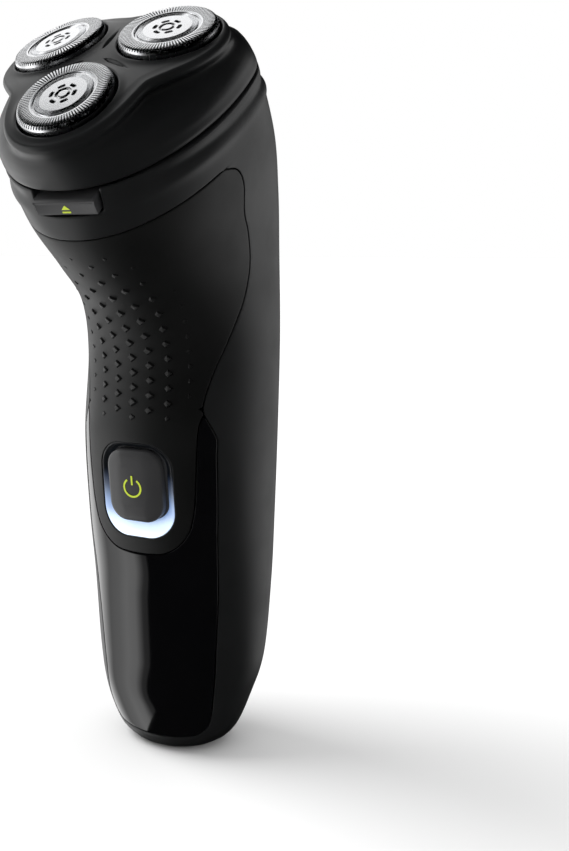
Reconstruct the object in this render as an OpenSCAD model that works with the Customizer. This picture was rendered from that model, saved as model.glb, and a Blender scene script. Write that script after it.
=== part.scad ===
// Cordless rotary shaver with three floating shaving heads, a flip-open head unit,
// a lit power button and a pop-up trimmer on the back.
// The foot's flat face lies on z = 0, the front faces -Y and +Z is up.

/* [Handle] */
// Height of the top of the grip above the foot, at the front
handle_l = 119; // [112:1:150]
// Width of the handle where it is fullest
handle_w = 44; // [42:1:56]
// Width of the neck, below the collar
neck_w = 41.8; // [41:0.5:54]
// Width of the collar under the head unit
collar_w = 52.6; // [51:0.5:60]
// Width and depth of the flat foot
foot_w = 16; // [15:0.5:22]
// Wall of the shells
wall = 2.2; // [1.6:0.1:2.6]
// Gap between one outer shell and the next
shell_gap = 0.25; // [0.15:0.05:0.4]

/* [Head unit] */
// Diameter of a cap
cap_d = 19.8; // [17:0.1:20.4]
// Distance between the centres of two caps
cap_pitch = 25.2; // [24:0.1:26]
// Outward lean of each cap
cap_lean = 6.3; // [3:0.1:8]
// Forward lean of the whole head
head_lean = 38.2; // [34:0.1:42]
// How far a cap sinks under pressure
cap_travel = 1; // [0.5:0.1:1.2]
// Diameter of the head unit's hinge pin
hinge_pin_d = 1.8; // [1.4:0.1:2.2]

/* [Drive] */
// Teeth on the motor pinion
pinion_teeth = 15; // [12:3:18]
// Teeth on each spindle gear
gear_teeth = 27; // [24:3:30]
// Thickness of the gears
gear_t = 2.5; // [1.5:0.1:2.6]
// Diameter of a drive spindle
spindle_d = 3; // [2.4:0.1:3.4]
// Diameter of the motor can
motor_d = 20; // [16:0.5:22]
// Length of the motor can
motor_l = 28; // [22:0.5:30]
// Diameter of the motor shaft
shaft_d = 2; // [1.5:0.1:2.3]
// Radial running clearance of shafts and pins
run_gap = 0.05; // [0.02:0.01:0.09]

/* [Battery and electronics] */
// Diameter of the battery cell
battery_d = 14.2; // [12:0.1:15]
// Length of the battery cell
battery_l = 50; // [42:0.5:52]
// Width of the circuit board
board_w = 20; // [16:0.5:22]
// Length of the circuit board
board_l = 44; // [38:0.5:48]

/* [Power button] */
// Width of the button pocket with its light ring
pocket_w = 17.8; // [16:0.1:19]
// Height of the button pocket
pocket_h = 21.8; // [20:0.1:23]
// Width of the button
button_w = 13.3; // [11:0.1:13.6]
// Height of the button
button_h = 16.4; // [15:0.1:17]
// Travel of the power button
button_travel = 0.5; // [0.3:0.1:0.6]

/* [Release button] */
// Width of the slot in the collar
slot_w = 15; // [13:0.5:17]
// Width of the release button
release_w = 12.4; // [10:0.1:12.6]
// Travel of the release button
release_travel = 1.2; // [0.8:0.1:1.4]

/* [Charging inlet] */
// Width of the inlet recess
inlet_w = 11; // [9:0.5:12]
// Depth of the inlet recess, front to back
inlet_d = 5.2; // [4.8:0.1:5.4]
// Distance of the inlet behind the middle of the foot
inlet_back = 4.4; // [4.2:0.1:4.8]
// Diameter of a contact pin
contact_d = 1.6; // [1.2:0.1:2]

/* [Trimmer] */
// Width of the trimmer flap
trimmer_w = 24; // [18:0.5:26]
// Height of the trimmer flap above its pivot
trimmer_h = 30; // [26:0.5:31]
// Diameter of the trimmer pivot pin
trimmer_pin_d = 1.6; // [1.2:0.1:2]
// Travel of the trimmer slide
slide_travel = 5; // [4:0.5:6]

/* [Hidden] */
$fn = 64;
eps = 0.02;

// ---- head frame: local Z is the head's axis, local Y points up the head's slope ----
head_y = -34.9;
head_z = handle_l + 35.2;
// Radius of the circle that the three caps' centres lie on
cap_ring = cap_pitch / sqrt(3);
CAP_ANGLES = [-90, 30, 150];
// Levels along the head's axis, measured from the caps' rims
collar_top = -13.7;
collar_bottom = -23.4;
housing_bottom = -13.4;
plate_top = -1.5;
function head_point(v, h) = [head_y + v * cos(head_lean) - h * sin(head_lean),
    head_z + v * sin(head_lean) + h * cos(head_lean)];
module in_head() {
    translate([0, head_y, head_z]) rotate([head_lean, 0, 0]) children();
}
module in_cap(i) {
    in_head() rotate([0, 0, CAP_ANGLES[i]]) translate([cap_ring, 0, 0])
        rotate([0, cap_lean, 0]) children();
}
// The spindles stand square to the head and meet the leaning cutters at their sockets
socket_level = -6.9;
spindle_ring = cap_ring + socket_level * sin(cap_lean);
module in_spindle(i) {
    in_head() rotate([0, 0, CAP_ANGLES[i]]) translate([spindle_ring, 0, 0]) children();
}

// ---- body surface: egg-shaped sections along the handle, neck and collar ----
// Each row: front point [y, z], back point [y, z], half width, share of the depth
// that lies in front of the widest line
foot = foot_w / 2;
z_scale = handle_l / 119;
function low(y, z) = [y, z * z_scale];
// Quarter-round from the foot to the heel; s runs from 0 to 1
heel_h = 12;
heel_w = handle_w - 8;
heel_power = 1.7;
function heel(s) = pow(1 - pow(1 - s, heel_power), 1 / heel_power);
function heel_row(s) = [low(-foot - (13.3 - foot) * heel(s), heel_h * s),
    low(foot + (13.8 - foot) * heel(s), heel_h * s),
    foot + (heel_w / 2 - foot) * heel(s), 0.5];
SECTIONS = [
    heel_row(0), heel_row(0.1), heel_row(0.35), heel_row(1),
    [low(-13.8, 22), low(16.6, 22), handle_w * 0.464, 0.52],
    [low(-16.1, 40), low(18.7, 40), handle_w * 0.487, 0.54],
    [low(-19.5, 56), low(20.1, 58), handle_w * 0.496, 0.55],
    [low(-21.8, 75), low(21.1, 78), handle_w / 2, 0.56],
    [low(-21.0, 92), low(22.4, 100), (handle_w + neck_w) / 4, 0.57],
    [low(-26.0, 103.5), low(23.0, 120), neck_w / 2, 0.59],
    [head_point(-26.6, -33.8), head_point(30.6, -49.4), neck_w / 2 + 1.2, 0.61],
    [head_point(-28.4, -22.5), head_point(30.8, -33.4), (neck_w + collar_w) / 4 + 1, 0.64],
    [head_point(-26.4, -13.4), head_point(26.2, -13.4), collar_w / 2, 0.66],
    [head_point(-25.6, -6.5), head_point(25, -6.5), collar_w / 2 - 0.8, 0.66]];
last_row = len(SECTIONS) - 1;

function blend(a, b, c, d, t) = 0.5 * (2 * b + (c - a) * t + (2 * a - 5 * b + 4 * c - d) * t * t
    + (3 * b - a - 3 * c + d) * t * t * t);
function row(i) = SECTIONS[max(0, min(last_row, i))];
// A smooth section at any place u between two rows
function section(u) = let (i = min(floor(u), last_row - 1), t = u - i)
    [for (k = [0:3]) blend(row(i - 1)[k], row(i)[k], row(i + 1)[k], row(i + 2)[k], t)];
// A superellipse's coordinate
function arc(v, power) = sign(v) * pow(abs(v), 2 / power);
front_power = 2.1;
back_power = 2.4;
// One ring of the surface, drawn in by inset
function ring(u, inset, n) = let (s = section(u), depth = norm(s[1] - s[0]),
        dir = (s[1] - s[0]) / depth, half = s[2] - inset)
    [for (j = [0:n - 1]) let (a = 360 * j / n, front = cos(a) > 0,
            power = front ? front_power : back_power,
            reach = (front ? s[3] : 1 - s[3]) * depth - inset,
            w = s[3] * depth - reach * arc(cos(a), power),
            p = s[0] + w * dir)
        [half * arc(sin(a), power), p[0], p[1]]];
// A closed solid through a stack of rings that all have n points
module loft(rings) {
    n = len(rings[0]);
    top = (len(rings) - 1) * n;
    polyhedron(points = [for (r = rings) each r],
        faces = concat(
            [[for (j = [0:n - 1]) j]],
            [[for (j = [n - 1:-1:0]) top + j]],
            [for (i = [0:len(rings) - 2], j = [0:n - 1]) let (k = (j + 1) % n)
                [i * n + j, (i + 1) * n + j, (i + 1) * n + k]],
            [for (i = [0:len(rings) - 2], j = [0:n - 1]) let (k = (j + 1) % n)
                [i * n + j, (i + 1) * n + k, i * n + k]]),
        convexity = 6);
}
OUTER_STEPS = concat([0, 0.25, 0.5, 0.75, 1, 1.33, 1.67, 2, 2.33, 2.67],
    [for (u = [3:0.34:last_row + 0.01]) min(u, last_row)], [last_row]);
INNER_STEPS = [for (u = [1.3:0.53:last_row - 0.2]) u];
outer_n = 44;
inner_n = 36;
module body_solid() {
    loft([for (u = OUTER_STEPS) ring(u, 0, outer_n)]);
}
// The hollow inside, with a floor of its own above the foot
module hollow(inset) {
    loft([for (u = concat(INNER_STEPS, [last_row])) ring(u, inset, inner_n)]);
}
// Slabs across the head's axis
slab = 400;
module head_slab(low_h, high_h) {
    in_head() translate([-slab / 2, -slab / 2, low_h]) cube([slab, slab, high_h - low_h]);
}
module above(h) {
    head_slab(h, h + slab);
}

// ---- zones of the outer skin ----
// Side outline (y, z) of everything in front of the rear shell
SEAM = concat([low(-40, 4.3), low(-13, 4.3), low(-9.6, 7), low(-9.2, 14), low(-9.8, 30),
    low(-11.4, 48), low(-13.2, 66), low(-14.6, 77), low(-15.6, 82.5), low(-14.6, 88), low(-12.6, 94),
    low(-9.6, 101), low(-6.9, 107), low(-6, 111.4), low(-6.6, 115.4), low(-9.4, 120.3)],
    [head_point(-0.2, -36), head_point(-0.8, -30), head_point(-2.5, -27.4), head_point(-6, -25.6),
    head_point(-10, -22), head_point(-60, -22)]);
module front_zone(grow) {
    rotate([90, 0, 90]) translate([0, 0, -slab / 2]) linear_extrude(slab)
        offset(delta = grow) polygon(SEAM);
}
// Front outline (x, z) of the gloss panel, from its foot to its two horn tips
panel_bottom = 4.3;
horn_top = 82.5;
panel_foot_w = 26;
panel_top_w = 33.6;
module panel_outline() {
    polygon([for (side = [1, -1]) each let (order = side > 0 ? [0:8] : [8:-1:0])
        [for (k = order) let (p = [
            [0, panel_bottom], [panel_foot_w * 0.34, panel_bottom + 0.6],
            [panel_foot_w / 2 - 1, panel_bottom + 2.6],
            [panel_foot_w / 2 + 0.8, panel_bottom + 7], [panel_foot_w / 2 + 1.9, 24],
            [panel_top_w / 2 - 0.7, 48], [panel_top_w / 2, 66], [panel_top_w / 2, 75],
            [panel_top_w / 2 - 2.5, horn_top]][k]) [side * p[0], p[1] * z_scale]]]);
}
// Front outline of the grip's tongue round the button
tongue_w = 26.6;
button_z = 65 * z_scale;
tongue_power = 3;
module tongue_outline(grow) {
    offset(delta = grow) polygon(concat(
        [for (a = [180:15:360]) [tongue_w / 2 * arc(cos(a), tongue_power),
            64 * z_scale + 14 * arc(sin(a), tongue_power)]],
        [[tongue_w / 2 + 0.7, 90 * z_scale], [-tongue_w / 2 - 0.7, 90 * z_scale]]));
}
module from_front(depth_to) {
    rotate([90, 0, 0]) translate([0, 0, -depth_to]) linear_extrude(slab) children();
}

// ---- button frame: local Z points out of the front, local Y up the panel ----
button_y = -20.55;
button_lean = atan(tan(8.1) / z_scale);
module in_button() {
    translate([0, button_y, button_z]) rotate([90 + button_lean, 0, 0]) children();
}
module rounded(w, h, r) {
    offset(r = r, $fn = 48) square([w - 2 * r, h - 2 * r], center = true);
}
pocket_r = 6;
// Gap round the button, how far the button stands out, and how far the pocket and the button
// lie below and above the middle
button_gap = 0.35;
button_out = 0.75;
pocket_shift = -0.35;
button_shift = 0.75;
module pocket_outline(grow) {
    translate([0, pocket_shift]) rounded(pocket_w + 2 * grow, pocket_h + 2 * grow, pocket_r);
}
module button_outline(grow) {
    translate([0, button_shift]) rounded(button_w + 2 * grow, button_h + 2 * grow, 4.2 + grow);
}

// ---- trimmer place: pivot under the back of the neck ----
pivot_y = 18.4;
pivot_z = 90 * z_scale;
flap_gap = 0.4;
bay_wall = 1.2;
bay_depth = 14.2;
pivot_r = 3.3;
module at_pivot() {
    translate([0, pivot_y, pivot_z]) children();
}
bay_top = pivot_z + trimmer_h + flap_gap + 0.3;
module bay_block(grow) {
    translate([-trimmer_w / 2 - flap_gap - grow, bay_depth - grow, pivot_z - pivot_r - flap_gap - grow])
        cube([trimmer_w + 2 * (flap_gap + grow), 20, bay_top - pivot_z + pivot_r + flap_gap + 2 * grow]);
}
// The trimmer slide runs up the back, below the flap
slide_z = 74 * z_scale;
slide_h = 7;
slide_w = 13;
slot_half = 3.2;
back_slope = atan2(1.3, 22);
slide_y = 20.75;
module in_slide() {
    translate([0, slide_y, slide_z]) rotate([-back_slope, 0, 0]) children();
}

// ================= outer shells =================
module inlet_outline(grow) {
    translate([0, inlet_back]) rounded(inlet_w + 2 * grow, inlet_d + 2 * grow, 2.2);
}
socket_wall = 1;
socket_h = 12;
module rear_shell() color("#262729") difference() {
    resize([0, 0, 0]) difference() {
        body_solid();
        hollow(wall);
        above(collar_bottom - shell_gap);
        intersection() {
            front_zone(shell_gap);
            translate([-slab / 2, -slab, 0]) cube([slab, slab, 2 * slab]);
        }
        bay_block(bay_wall);
    }
    translate([0, 0, -1]) linear_extrude(20) inlet_outline(socket_wall);
    in_slide() translate([-slot_half, -6, -1]) cube([2 * slot_half, 12, slide_h + slide_travel]);
}
module grip_panel() color("#1d1e20") difference() {
    resize([0, 0, 0]) difference() {
        intersection() {
            body_solid();
            front_zone(0);
        }
        hollow(wall);
        above(collar_bottom - shell_gap);
        intersection() {
            from_front(0) difference() {
                translate([-slab / 2, 0]) square([slab, horn_top * z_scale]);
                tongue_outline(0);
            }
            translate([-slab / 2, -slab, 0]) cube([slab, slab, 2 * slab]);
        }
        in_button() translate([0, 0, -10]) linear_extrude(20) pocket_outline(0);
    }
}
panel_t = 1.8;
module front_panel() color("#060607") resize([0, 0, 0]) intersection() {
    difference() {
        body_solid();
        hollow(panel_t);
    }
    front_zone(0);
    from_front(0) difference() {
        panel_outline();
        tongue_outline(shell_gap);
    }
}

// ================= collar and seals =================
hinge_v = 26.6;
hinge_h = -13.55;
knuckle_r = hinge_pin_d / 2 + 1.1;
knuckle_half = 5;
knuckle_end = 9;
module along_hinge(r, x0, x1) {
    in_head() translate([x0, hinge_v, hinge_h]) rotate([0, 90, 0]) cylinder(r = r, h = x1 - x0);
}
slot_bottom = -18.2;
slot_depth = -20;
// Where the release spring bears on the deck
spring_seat = slot_depth - 0.15;
// Length of the spring pressed solid, and the back face of the release button, where it starts
spring_solid = 1.25;
spring_front = spring_seat - spring_solid - release_travel;
module collar() color("#222325") difference() {
    union() {
        resize([0, 0, 0]) difference() {
            body_solid();
            hollow(wall);
            above(collar_top);
            head_slab(collar_bottom - slab, collar_bottom);
            in_head() translate([-slot_w / 2, -60, slot_bottom]) cube([slot_w, 60 + slot_depth, 10]);
        }
        for (s = [-1, 1]) difference() {
            along_hinge(knuckle_r, s > 0 ? knuckle_half + shell_gap : -knuckle_end,
                s > 0 ? knuckle_end : -knuckle_half - shell_gap);
            in_head() translate([-slab / 2, 0, hinge_h + 0.3]) cube([slab, hinge_v, 10]);
        }
    }
    along_hinge(knuckle_r + 0.35, -knuckle_half - shell_gap, knuckle_half + shell_gap);
    along_hinge(hinge_pin_d / 2, -knuckle_end - 1, knuckle_end + 1);
}
seal_t = 1.1;
module neck_seal() color("#3b3d40") resize([0, 0, 0]) intersection() {
    difference() {
        hollow(wall + 0.15);
        hollow(wall + 0.15 + seal_t);
    }
    head_slab(collar_bottom - 1.3, collar_bottom + 1.1);
}

// ================= power button and electronics =================
// Lower end of the button's stem, and its play above the switch
key_foot = -2.9;
key_play = 0.2;
module power_button() color("#2b2c2e") in_button() {
    difference() {
        translate([0, 0, -2]) linear_extrude(2 + button_out) button_outline(0);
        for (s = [-1, 1]) translate([s * (button_w / 2 + 6.9), 0, 2.4]) rotate([90, 0, 0])
            cylinder(r = 7.6, h = 40, center = true);
    }
    translate([0, 0, key_foot]) cylinder(d = 3.6, h = 1);
}
module light_ring() color("#dfefff") resize([0, 0, 0]) intersection() {
    in_button() translate([0, 0, -2.4]) linear_extrude(8) difference() {
        pocket_outline(-0.1);
        button_outline(button_gap);
    }
    hollow(0.35);
}
module button_seal() color("#303235") in_button() translate([0, 0, -3.3]) linear_extrude(0.5)
    difference() {
        pocket_outline(-0.5);
        circle(d = 4.6);
    }
board_top = -8.3;
board_t = 1.5;
frame_top = board_top - board_t - 1.8;
frame_t = 1.5;
board_hole_x = board_w / 2 - 2.4;
board_hole_y = board_l / 2 - 2.6;
board_hole_d = 1.7;
module board_holes(d, z0, h) {
    for (x = [-1, 1], y = [-1, 1]) translate([x * board_hole_x, y * board_hole_y, z0])
        cylinder(d = d, h = h);
}
module circuit_board() color("#1f6b3a") in_button() difference() {
    translate([-board_w / 2, -board_l / 2, board_top - board_t]) cube([board_w, board_l, board_t]);
    board_holes(board_hole_d, board_top - 5, 10);
}
switch_h = 3.4;
module tact_switch() color("#8d9296") in_button() {
    translate([-3, -3, board_top]) cube([6, 6, switch_h]);
    translate([0, 0, board_top + switch_h - 0.1])
        cylinder(d = 3.2, h = key_foot - button_travel - key_play - board_top - switch_h + 0.1);
}
module status_led() color("#f3f5da") in_button() for (x = [-1, 1])
    translate([x * 6.3 - 0.8, -9.2, board_top]) cube([1.6, 1.2, 0.9]);
screw_gap = 0.04;
module board_screws() color("#b9bcc0") in_button() {
    board_holes(2.8, board_top, 0.9);
    board_holes(board_hole_d - 2 * screw_gap, board_top - board_t - 2.6, board_t + 2.7);
}
battery_y = 4.6;
battery_z = 17 * z_scale;
clip_gap = 0.15;
clip_wall = 1.3;
clip_w = 6;
// Heights of the two clips above the cell's lower end
CLIPS = [clip_w + 14, battery_l - clip_w - 6];
frame_l = 2 * (button_z - battery_z - CLIPS[0] + 1);
frame_w = 23;
module battery_clip(z) {
    translate([0, battery_y, battery_z + z]) difference() {
        cylinder(r = battery_d / 2 + clip_gap + clip_wall, h = clip_w);
        translate([0, 0, -1]) cylinder(r = battery_d / 2 + clip_gap, h = clip_w + 2);
        translate([-20, 1.5, -1]) cube([40, 20, clip_w + 2]);
    }
}
module inner_frame() color("#56595d") difference() {
    union() {
        in_button() {
            translate([-frame_w / 2, -frame_l / 2, frame_top - frame_t]) cube([frame_w, frame_l, frame_t]);
            board_holes(4, frame_top - eps, board_top - board_t - frame_top + eps);
        }
        difference() {
            for (z = CLIPS) {
                battery_clip(z);
                for (s = [-1, 1]) translate([s * (battery_d / 2 + clip_gap + clip_wall / 2) - clip_wall / 2,
                    -9, battery_z + z]) cube([clip_wall, battery_y + 10, clip_w]);
            }
            in_button() translate([-slab / 2, -slab / 2, frame_top - eps]) cube(slab);
        }
    }
    in_button() board_holes(board_hole_d, frame_top - 5, 10);
    translate([0, battery_y, battery_z - 5]) cylinder(r = battery_d / 2 + clip_gap, h = battery_l + 10);
}
module battery() color("#3f6fb0") translate([0, battery_y, battery_z]) {
    cylinder(d = battery_d, h = battery_l);
    translate([0, 0, battery_l - eps]) cylinder(d = 5, h = 1);
}
tab_t = 0.3;
module battery_tabs() color("#c9ccd0") {
    translate([-2, battery_y - 9, battery_z + battery_l + 1]) cube([4, 11, tab_t]);
    translate([-2, battery_y - 9, battery_z - tab_t]) cube([4, 11, tab_t]);
}

// ================= charging inlet =================
recess_h = 10;
contact_x = 2.3;
contact_tip = 4.8;
module inlet_socket() color("#151617") difference() {
    linear_extrude(socket_h) inlet_outline(socket_wall - 0.1);
    translate([0, 0, -1]) linear_extrude(recess_h + 1) inlet_outline(0);
    for (s = [-1, 1]) translate([s * contact_x, inlet_back, 0]) cylinder(d = contact_d, h = 20);
}
module contact_pins() color("#d8dadd") for (s = [-1, 1])
    translate([s * contact_x, inlet_back, contact_tip]) {
        cylinder(d1 = contact_d * 0.6, d2 = contact_d, h = 0.5);
        translate([0, 0, 0.5]) cylinder(d = contact_d, h = socket_h + 2 - contact_tip - 0.5);
    }
module inlet_seal() color("#3b3d40") translate([0, 0, 6]) linear_extrude(1.6) difference() {
    inlet_outline(socket_wall + 1.2);
    inlet_outline(socket_wall - 0.05);
}

// ================= motor and gears =================
plate_level = -25.3;
plate_t = 1.4;
motor_top = plate_level - 0.1;
gear_level = -22.2;
can_wall = 0.8;
gear_module = 2 * spindle_ring / (pinion_teeth + gear_teeth);
motor_screw_x = motor_d / 2 - 3.2;
motor_screw_d = 1.6;
screw_bite = 2.2;
module motor_can() color("#aeb2b6") in_head() difference() {
    translate([0, 0, motor_top - motor_l]) cylinder(d = motor_d, h = motor_l);
    translate([0, 0, motor_top - motor_l + can_wall])
        cylinder(d = motor_d - 2 * can_wall, h = motor_l - 3 * can_wall);
    translate([0, 0, motor_top - 4]) cylinder(d = shaft_d + 2 * run_gap, h = 6);
    for (s = [-1, 1]) translate([s * motor_screw_x, 0, motor_top - 3]) cylinder(d = motor_screw_d, h = 6);
}
rotor_l = motor_l - 6;
module motor_rotor() color("#9a6a3a") in_head() {
    translate([0, 0, motor_top - motor_l + 2]) cylinder(d = motor_d - 5, h = rotor_l);
    translate([0, 0, motor_top - motor_l + can_wall + 0.2])
        cylinder(d = shaft_d, h = gear_level + gear_t - motor_top + motor_l - can_wall - 0.2);
}
// A spur wheel whose teeth are thinner than their gaps, so that a pair runs free
tooth_share = 0.42;
module spur_wheel(teeth, phase) {
    r = gear_module * teeth / 2;
    root = r - 1.2 * gear_module;
    tip = r + 0.95 * gear_module;
    step = 360 / teeth;
    flank = [[root, -0.36], [r, -tooth_share / 2], [tip, -0.1],
        [tip, 0.1], [r, tooth_share / 2], [root, 0.36]];
    linear_extrude(gear_t) polygon([for (k = [0:teeth - 1], q = flank)
        let (a = (k + q[1]) * step + phase) q[0] * [cos(a), sin(a)]]);
}
module motor_pinion() color("#d9d4c4") in_head() translate([0, 0, gear_level]) difference() {
    rotate([0, 0, -90]) spur_wheel(pinion_teeth, 0);
    translate([0, 0, -1]) cylinder(d = shaft_d, h = gear_t + 2);
}
module gear_plate() color("#4a4d51") difference() {
    resize([0, 0, 0]) intersection() {
        hollow(wall + 0.3 + seal_t + 0.3);
        head_slab(plate_level, plate_level + plate_t);
    }
    in_head() translate([0, 0, plate_level - 1]) {
        cylinder(d = shaft_d + 3, h = 5);
        for (s = [-1, 1]) translate([s * motor_screw_x, 0, 0]) cylinder(d = motor_screw_d + 0.3, h = 5);
    }
    for (i = [0:2]) in_spindle(i) translate([0, 0, plate_level - 1])
        cylinder(d = spindle_d + 2 * run_gap, h = 5);
}
module motor_screws() color("#b9bcc0") in_head() for (s = [-1, 1]) translate([s * motor_screw_x, 0, 0]) {
    translate([0, 0, motor_top - screw_bite])
        cylinder(d = motor_screw_d - 2 * screw_gap,
            h = plate_level + plate_t - motor_top + screw_bite + 0.1);
    translate([0, 0, plate_level + plate_t]) cylinder(d = 2.8, h = 0.8);
}
deck_level = -17.8;
deck_t = 1.6;
boss_r = spindle_d / 2 + 2.4;
module drive_deck() color("#2f3134") difference() {
    union() {
        resize([0, 0, 0]) difference() {
            intersection() {
                hollow(wall + 0.1);
                head_slab(deck_level, deck_level + deck_t);
            }
            in_head() translate([-slot_w / 2 - 1, -60, deck_level - 1])
                cube([slot_w + 2, 60 + spring_seat, 10]);
        }
        for (i = [0:2]) in_spindle(i) translate([0, 0, deck_level]) cylinder(r = boss_r, h = deck_t + 1.6);
    }
    for (i = [0:2]) in_spindle(i) {
        translate([0, 0, deck_level - 1]) cylinder(d = spindle_d + 2 * run_gap, h = 8);
        translate([0, 0, deck_level + deck_t + 0.6]) cylinder(r = boss_r - 0.9, h = 8);
    }
}
module spindle_seals() color("#55585c") for (i = [0:2]) in_spindle(i)
    translate([0, 0, deck_level + deck_t + 0.6]) difference() {
        cylinder(r = boss_r - 0.9, h = 0.9);
        translate([0, 0, -1]) cylinder(d = spindle_d + 2 * run_gap, h = 3);
    }
spindle_tip = -6.4;
tip_d = spindle_d - 0.5;
module spindle(i) color("#e4e6e8") in_spindle(i) {
    translate([0, 0, plate_level + 0.1]) cylinder(d = spindle_d, h = -plate_level - 0.1 + spindle_tip - 4);
    translate([0, 0, spindle_tip - 4 - eps]) cylinder(d = tip_d, h = 4 + eps - 0.6);
    translate([0, 0, spindle_tip - 0.6 - eps]) cylinder(d1 = tip_d, d2 = tip_d - 1, h = 0.6 + eps);
}
module spindle_gear(i) color("#efe9d6") in_spindle(i) translate([0, 0, gear_level]) difference() {
    rotate([0, 0, 180]) spur_wheel(gear_teeth, 180 / gear_teeth);
    translate([0, 0, -1]) cylinder(d = spindle_d, h = gear_t + 2);
}

// ================= release button =================
release_top = -15.4;
release_bottom = slot_bottom + 0.3;
release_face = -27.2;
module release_button() color("#26272a") in_head() {
    translate([-release_w / 2, release_face, release_bottom])
        cube([release_w, spring_front - release_face, release_top - release_bottom]);
}
spring_wire = 0.45;
spring_r = 0.9;
spring_turns = 4;
// A round wire swept along a helix, drawn as rings of points
module coil(r, wire, length, turns) {
    sides = 6;
    steps = 12 * turns;
    loft([for (k = [0:steps]) let (a = 360 * turns * k / steps, z = length * k / steps)
        [for (j = [0:sides - 1]) let (b = 360 * j / sides, d = r + wire / 2 * cos(b))
            [d * cos(a), d * sin(a), z + wire / 2 * sin(b)]]]);
}
module release_spring() color("#c2c5c9") in_head()
    translate([0, spring_front + spring_wire / 2 + 0.05, (release_top + release_bottom) / 2])
        rotate([-90, 0, 0])
            coil(spring_r, spring_wire, spring_seat - spring_front - spring_wire - 0.1, spring_turns);

// ================= head unit =================
// Trefoil edge of the top plate round the three caps, as a radius at an angle
valley_r = 18.2;
lobe_rise = cap_ring + cap_d / 2 + 1.9 - valley_r;
function trefoil(a, grow) = let (lobe = (1 + cos(3 * (a - 30))) / 2,
    r = valley_r + lobe_rise * pow(lobe, 0.8) + grow) [r * cos(a), r * sin(a) - 1.2];
// The collar's outline at the parting plane, seen along the head's axis
base_front = -26.4;
base_back = 26.2;
base_share = 0.66;
function base_edge(a, inset) = let (c = cos(a), power = c > 0 ? front_power : back_power,
    depth = base_back - base_front,
    reach = (c > 0 ? base_share : 1 - base_share) * depth - inset)
    [(collar_w / 2 - inset) * arc(sin(a), power), base_front + base_share * depth - reach * arc(c, power)];
function head_ring(h, s, inset, n) = [for (j = [0:n - 1]) let (a = 360 * j / n,
    p = (1 - s) * base_edge(a, inset) + s * trefoil(a - 90, -inset)) [p[0], p[1], h]];
HEAD_RINGS = [[housing_bottom, 0, 0.4], [-12.6, 0, 0], [-10.4, 0.1, -0.5], [-8, 0.28, -0.6],
    [-6.2, 0.5, -0.1], [-4.6, 0.75, 0], [-3, 0.94, 0], [-2, 1, 0.1], [plate_top, 1, 0.7]];
module head_solid(shrink, rings, n) {
    loft([for (r = rings) head_ring(r[0], r[1], r[2] + shrink, n)]);
}
head_wall = 1.6;
cavity_top = -3.8;
post_r = 2;
post_end = -12.2;
cap_gap = 0.45;
module head_housing() color("#232426") {
    difference() {
        in_head() resize([0, 0, 0]) difference() {
            head_solid(0, HEAD_RINGS, 60);
            head_solid(head_wall, [[housing_bottom - 1, 0, 0], [-10.4, 0.1, -0.5], [-7, 0.4, 0],
                [cavity_top, 0.75, 0]], 36);
        }
        for (i = [0:2]) in_cap(i) translate([0, 0, -7]) cylinder(r = cap_d / 2 + cap_gap, h = 14);
        for (s = [-1, 1]) along_hinge(knuckle_r + 0.35, s > 0 ? knuckle_half - eps : -knuckle_end - 0.3,
            s > 0 ? knuckle_end + 0.3 : -knuckle_half + eps);
        along_hinge(hinge_pin_d / 2 + run_gap, -knuckle_end, knuckle_end);
    }
    difference() {
        along_hinge(knuckle_r, -knuckle_half, knuckle_half);
        along_hinge(hinge_pin_d / 2 + run_gap, -knuckle_end, knuckle_end);
    }
    in_head() translate([0, 0, post_end]) cylinder(r = post_r, h = cavity_top - post_end + 0.5);
}
module hinge_pin() color("#cfd1d4") along_hinge(hinge_pin_d / 2, -knuckle_end + 0.2, knuckle_end - 0.2);

frame_level = -9.9;
module retaining_frame() color("#3a3c3f") in_head() difference() {
    translate([0, 0, frame_level]) linear_extrude(1.3) union() {
        circle(r = 6.5);
        for (i = [0:2]) rotate([0, 0, CAP_ANGLES[i]]) {
            translate([spindle_ring, 0]) circle(r = 7.4);
            translate([0, -3]) square([spindle_ring, 6]);
        }
    }
    for (i = [0:2]) rotate([0, 0, CAP_ANGLES[i]]) translate([spindle_ring, 0, frame_level - 1])
        cylinder(r = 4.9, h = 4);
    translate([0, 0, frame_level - 1]) cylinder(r = post_r + 0.1, h = 4);
}
lock_t = 1.7;
module retaining_lock() color("#8f9296") in_head() translate([0, 0, frame_level - 0.1 - lock_t])
    difference() {
        union() {
            cylinder(r = 4, h = lock_t);
            translate([-6, -1.1, 0]) cube([12, 2.2, lock_t]);
        }
        translate([0, 0, -1]) cylinder(r = post_r + run_gap, h = 4);
    }
cap_t = 0.45;
module cap(i) color("#c8cacc") in_cap(i) {
    rotate_extrude() polygon([[0, -0.9], [7.8, -0.9], [cap_d / 2 - 0.9, -cap_t - 0.2],
        [cap_d / 2 - 0.5, -0.8],
        [cap_d / 2 - 0.5, -5.6], [cap_d / 2, -5.6], [cap_d / 2, -0.55], [cap_d / 2 - 0.5, 0], [6.6, 0],
        [6.3, -0.35], [5.6, -0.35], [5.3, -0.05], [0, -0.05]]);
    translate([0, 0, -2.6]) cylinder(d = 1.2, h = 2);
}
blade_count = 9;
hub_r = 3.5;
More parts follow.
